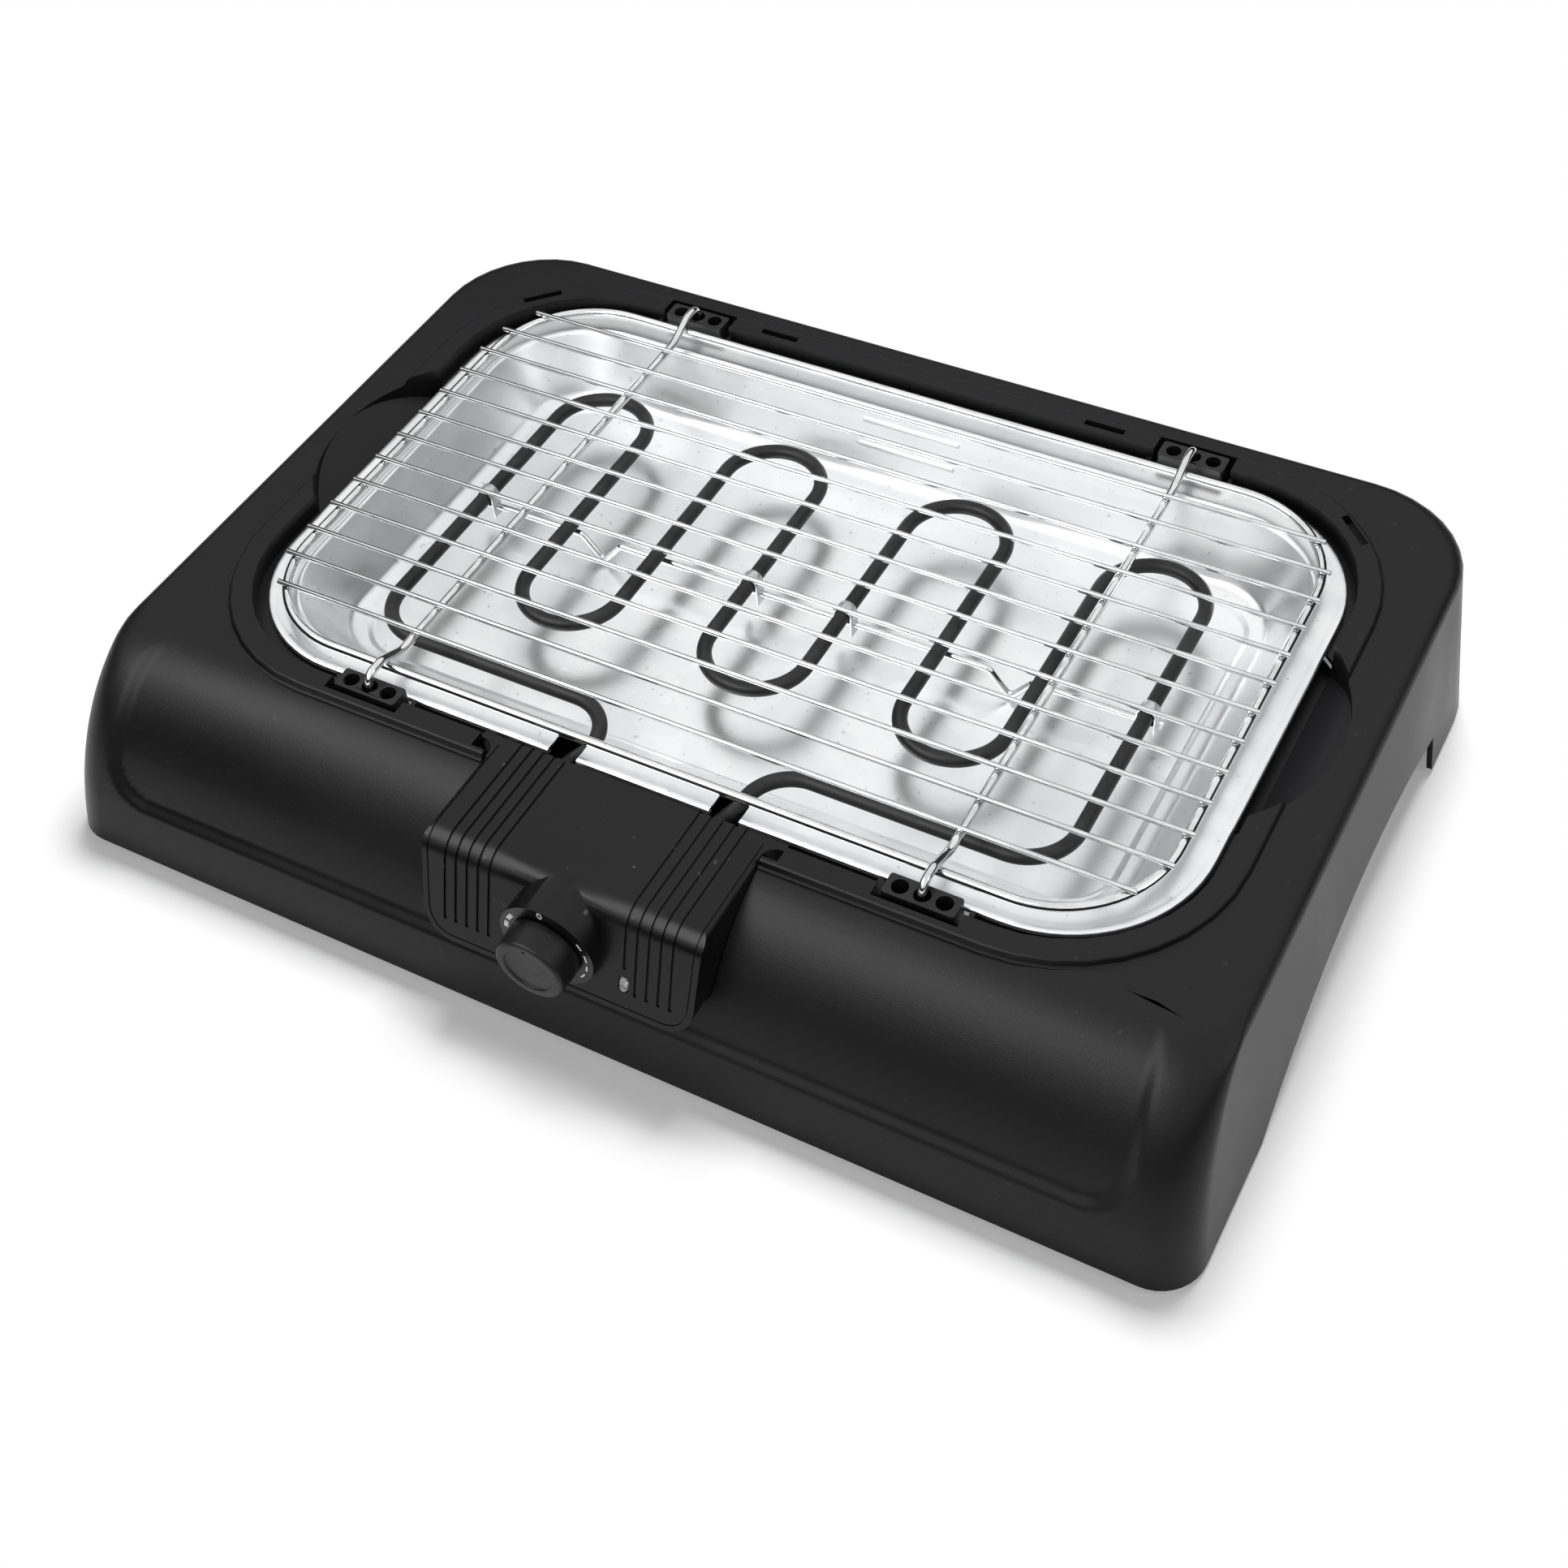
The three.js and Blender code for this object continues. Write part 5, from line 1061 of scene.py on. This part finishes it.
def makeClip(nodeName, name):
    look = clipLook
    low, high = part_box(nodeName)
    x = (low.x + high.x) / 2
    half = look["width"] / 2 * mm
    inner, outer = look["inner"] * mm, (look["inner"] + look["sheet"]) * mm
    level = elementLook["level"] * mm
    centre = Vector((x, rackY, level))
    bm = bmesh.new()
    corners = [Vector((x + across, rackY + along, look["foot"] * mm))
               for across, along in ((inner, -half), (outer, -half), (outer, half), (inner, half))]
    face = bm.faces.new([bm.verts.new(corner) for corner in corners])
    made = bmesh.ops.extrude_face_region(bm, geom=[face])
    lift = Vector((0, 0, level - look["foot"] * mm))
    bmesh.ops.translate(bm, vec=lift, verts=itemsOf(made, bmesh.types.BMVert))
    top = itemsOf(made, bmesh.types.BMFace)
    made = bmesh.ops.spin(bm, geom=top, cent=centre, axis=(0, -1, 0), angle=math.pi,
                          steps=look["steps"], use_duplicate=False)
    bmesh.ops.delete(bm, geom=top, context="FACES_ONLY")
    top = itemsOf(made, bmesh.types.BMFace, "geom_last")
    made = bmesh.ops.extrude_face_region(bm, geom=top)
    bmesh.ops.delete(bm, geom=top, context="FACES_ONLY")
    bmesh.ops.translate(bm, vec=-lift, verts=itemsOf(made, bmesh.types.BMVert))
    bmesh.ops.recalc_face_normals(bm, faces=bm.faces)
    softenCorners(bm, look["edge"] * mm, 2, 60)
    finishPiece(bm, name, "heater_unit", zincFinish, [nodeName])


makeElement()
makeRod()
for number in range(1, 5):
    makeClip("element_strap_%d" % number, "tube_clip_%d" % number)
print("element ready")


# Control box: the cover, its base plate and what is seen on its front
roundedTwin("control_box_cover", "box_cover", "heater_unit", boxFinish, 0.00032, 2)
roundedTwin("control_box_base", "box_base", "heater_unit", boxFinish, 0.0004, 2)

knobLook = {
    "profile": ((3.3, 0.0), (14.6, 0.0), (15.2, 0.25), (15.4, 0.8), (15.15, 6.0), (14.85, 10.9),
                (14.75, 11.6), (14.45, 12.2), (13.9, 12.52), (13.2, 12.6), (11.5, 12.6), (10.95, 12.5),
                (10.65, 12.2), (10.5, 11.95), (10.1, 11.9), (0, 11.9), (0, 9.0), (3.3, 9.0), (3.3, 0.0)),
    "steps": 96,
    "notchHigh": 12.2, "notchLow": 9.9, "notchWidth": 1.5, "notchDepth": 0.9,
}
dialLook = {"radius": 17.8, "height": 64.1, "plate": -201.417, "proud": 0.12,
            "dashWidth": 0.75, "blobWidth": 1.9,
            "dashes": ((57, 68), (77, 90), (98, 109), (118, 130)), "blobs": ((-63, -49), (-82, -69)),
            "zeroRadius": 18.3, "zeroSize": 4.9}


def makeKnob():
    look = knobLook
    low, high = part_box("control_knob")
    centre = Vector(((low.x + high.x) / 2, high.y, (low.z + high.z) / 2))
    bm = bmesh.new()
    profile = [(radius * mm, along * mm) for radius, along in look["profile"]]
    turnedForm(bm, profile, centre, (0, -1, 0), look["steps"])
    knob = finishPiece(bm, "dial_knob", "knob_body", knobFinish, ["control_knob"])
    cutter = bmesh.new()
    middle = (look["notchHigh"] + look["notchLow"]) / 2
    place = Matrix.Translation((centre.x, low.y, centre.z + middle * mm))
    size = Matrix.Diagonal((look["notchWidth"] * mm, 2 * look["notchDepth"] * mm,
                            (look["notchHigh"] - look["notchLow"]) * mm, 1))
    made = bmesh.ops.create_cube(cutter, size=1, matrix=place @ size)
    edges = [edge for edge in cutter.edges if abs(edge.verts[0].co.y - edge.verts[1].co.y) > 1e-5]
    bevelEdges(cutter, edges, 0.45 * mm, 3)
    mesh = bpy.data.meshes.new("pointerNotch")
    cutter.to_mesh(mesh)
    cutter.free()
    tool = bpy.data.objects.new("pointerNotch", mesh)
    bpy.context.scene.collection.objects.link(tool)
    cutFrom(knob, tool)
    evenShading(knob)


def dialDirection(clock):
    # Degrees clockwise from the top, as seen from the front
    angle = math.radians(clock)
    return Vector((math.sin(angle), 0, math.cos(angle)))


def makeDialMarks():
    look = dialLook
    centre = Vector((0, rackY + look["plate"] * mm, look["height"] * mm))
    bm = bmesh.new()
    for marks, width in ((look["dashes"], look["dashWidth"]), (look["blobs"], look["blobWidth"])):
        for start, end in marks:
            outward = dialDirection(start)
            forward = Vector((0, -look["proud"] * mm, 0))
            middle = centre + outward * look["radius"] * mm
            aside = outward * width / 2 * mm
            near, far = middle - forward, middle + forward
            corners = [near - aside, near + aside, far + aside, far - aside]
            face = bm.faces.new([bm.verts.new(corner) for corner in corners])
            bmesh.ops.spin(bm, geom=[face], cent=centre, axis=(0, 1, 0), angle=math.radians(end - start),
                           steps=6, use_duplicate=False)
    bmesh.ops.recalc_face_normals(bm, faces=bm.faces)
    corners = [edge for edge in bm.edges if len(edge.link_faces) == 2 and edge.calc_face_angle() > 1]
    bevelEdges(bm, corners, 0.1 * mm, 2)
    finishPiece(bm, "dial_marks", "heater_unit", printFinish)
    data = bpy.data.curves.new("dial_zero", "FONT")
    data.body = "0"
    data.size = look["zeroSize"] * mm
    data.align_x = "CENTER"
    data.align_y = "CENTER"
    data.extrude = look["proud"] * mm
    data.offset = 0.05 * mm
    text = bpy.data.objects.new("dialZeroText", data)
    bpy.context.scene.collection.objects.link(text)
    bpy.context.view_layer.update()
    graph = bpy.context.evaluated_depsgraph_get()
    mesh = bpy.data.meshes.new_from_object(text.evaluated_get(graph))
    bpy.data.objects.remove(text)
    place = centre + dialDirection(0) * look["zeroRadius"] * mm
    mesh.transform(Matrix.Translation(place) @ Matrix.Rotation(quarterTurn, 4, "X"))
    bm = bmesh.new()
    bm.from_mesh(mesh)
    bpy.data.meshes.remove(mesh)
    bmesh.ops.remove_doubles(bm, verts=bm.verts, dist=1e-6)
    finishPiece(bm, "dial_zero", "heater_unit", printFinish)


makeKnob()
makeDialMarks()

lensLook = {"x": 30.6, "height": 53.6, "halfWidth": 1.72, "halfLength": 3.3, "tilt": 18.0,
            "boxTop": 85.0, "frontTop": -187.9, "roundness": 0.98, "cornerSteps": 8}


def faceY(z):
    # The cover's front leans out towards its foot
    look = lensLook
    return look["frontTop"] - (look["boxTop"] - z) * math.tan(math.radians(look["tilt"]))


def makeLens():
    look = lensLook
    centre = fromRack(look["x"], faceY(look["height"]), look["height"])
    lean = Matrix.Translation(centre) @ Matrix.Rotation(quarterTurn - math.radians(look["tilt"]), 4, "X")
    bm = bmesh.new()
    loops = []
    for grow, along in ((0, -3.0), (0, 0.0), (-0.12, 0.17), (-0.4, 0.26), (-0.9, 0.29)):
        halfWidth = (look["halfWidth"] + grow) * mm
        halfLength = (look["halfLength"] + grow) * mm
        loops.append(roundedLoop(bm, -halfWidth, halfWidth, -halfLength, halfLength,
                                 halfWidth * look["roundness"], along * mm, look["cornerSteps"]))
    skinLoops(bm, loops)
    bmesh.ops.contextual_create(bm, geom=loops[0])
    bmesh.ops.contextual_create(bm, geom=loops[-1])
    bmesh.ops.transform(bm, matrix=lean, verts=bm.verts)
    bmesh.ops.recalc_face_normals(bm, faces=bm.faces)
    finishPiece(bm, "lamp_lens", "heater_unit", lensFinish, ["indicator_lens"])


makeLens()

glandLook = {
    "profile": ((3.7, 0), (5.6, 0), (6.0, 0.3), (7.2, 2.4), (7.5, 2.9), (7.5, 4.6), (7.2, 5.0), (6.0, 5.0),
                (6.0, 7.8), (7.2, 7.8), (7.5, 8.1), (7.5, 9.0), (7.1, 9.4), (3.7, 9.4), (3.7, 0)),
    "steps": 48,
}
low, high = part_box("cord_gland")
bm = bmesh.new()
turnedForm(bm, [(radius * mm, along * mm) for radius, along in glandLook["profile"]],
           ((low.x + high.x) / 2, (low.y + high.y) / 2, low.z), (0, 0, 1), glandLook["steps"])
finishPiece(bm, "cord_grommet", "heater_unit", rubberFinish, ["cord_gland"])

# What the box holds keeps its CAD shape
innerLooks = (
    ("thermostat_body", innerFinish, 0.0005),
    ("thermostat_shaft", zincFinish, 0.0003),
    ("thermal_cutout", ceramicFinish, 0.0005),
    ("terminal_block", ceramicFinish, 0.0006),
    ("terminal_seal_left", ceramicFinish, 0.0003),
    ("terminal_seal_right", ceramicFinish, 0.0003),
    ("lead_left", sleeveFinish, 0.0002),
    ("lead_right", sleeveFinish, 0.0002),
    ("indicator_lamp", lampFinish, 0.0003),
)
for nodeName, finish, edge in innerLooks:
    dressNode(nodeName, finish, edge)
print("control box ready")
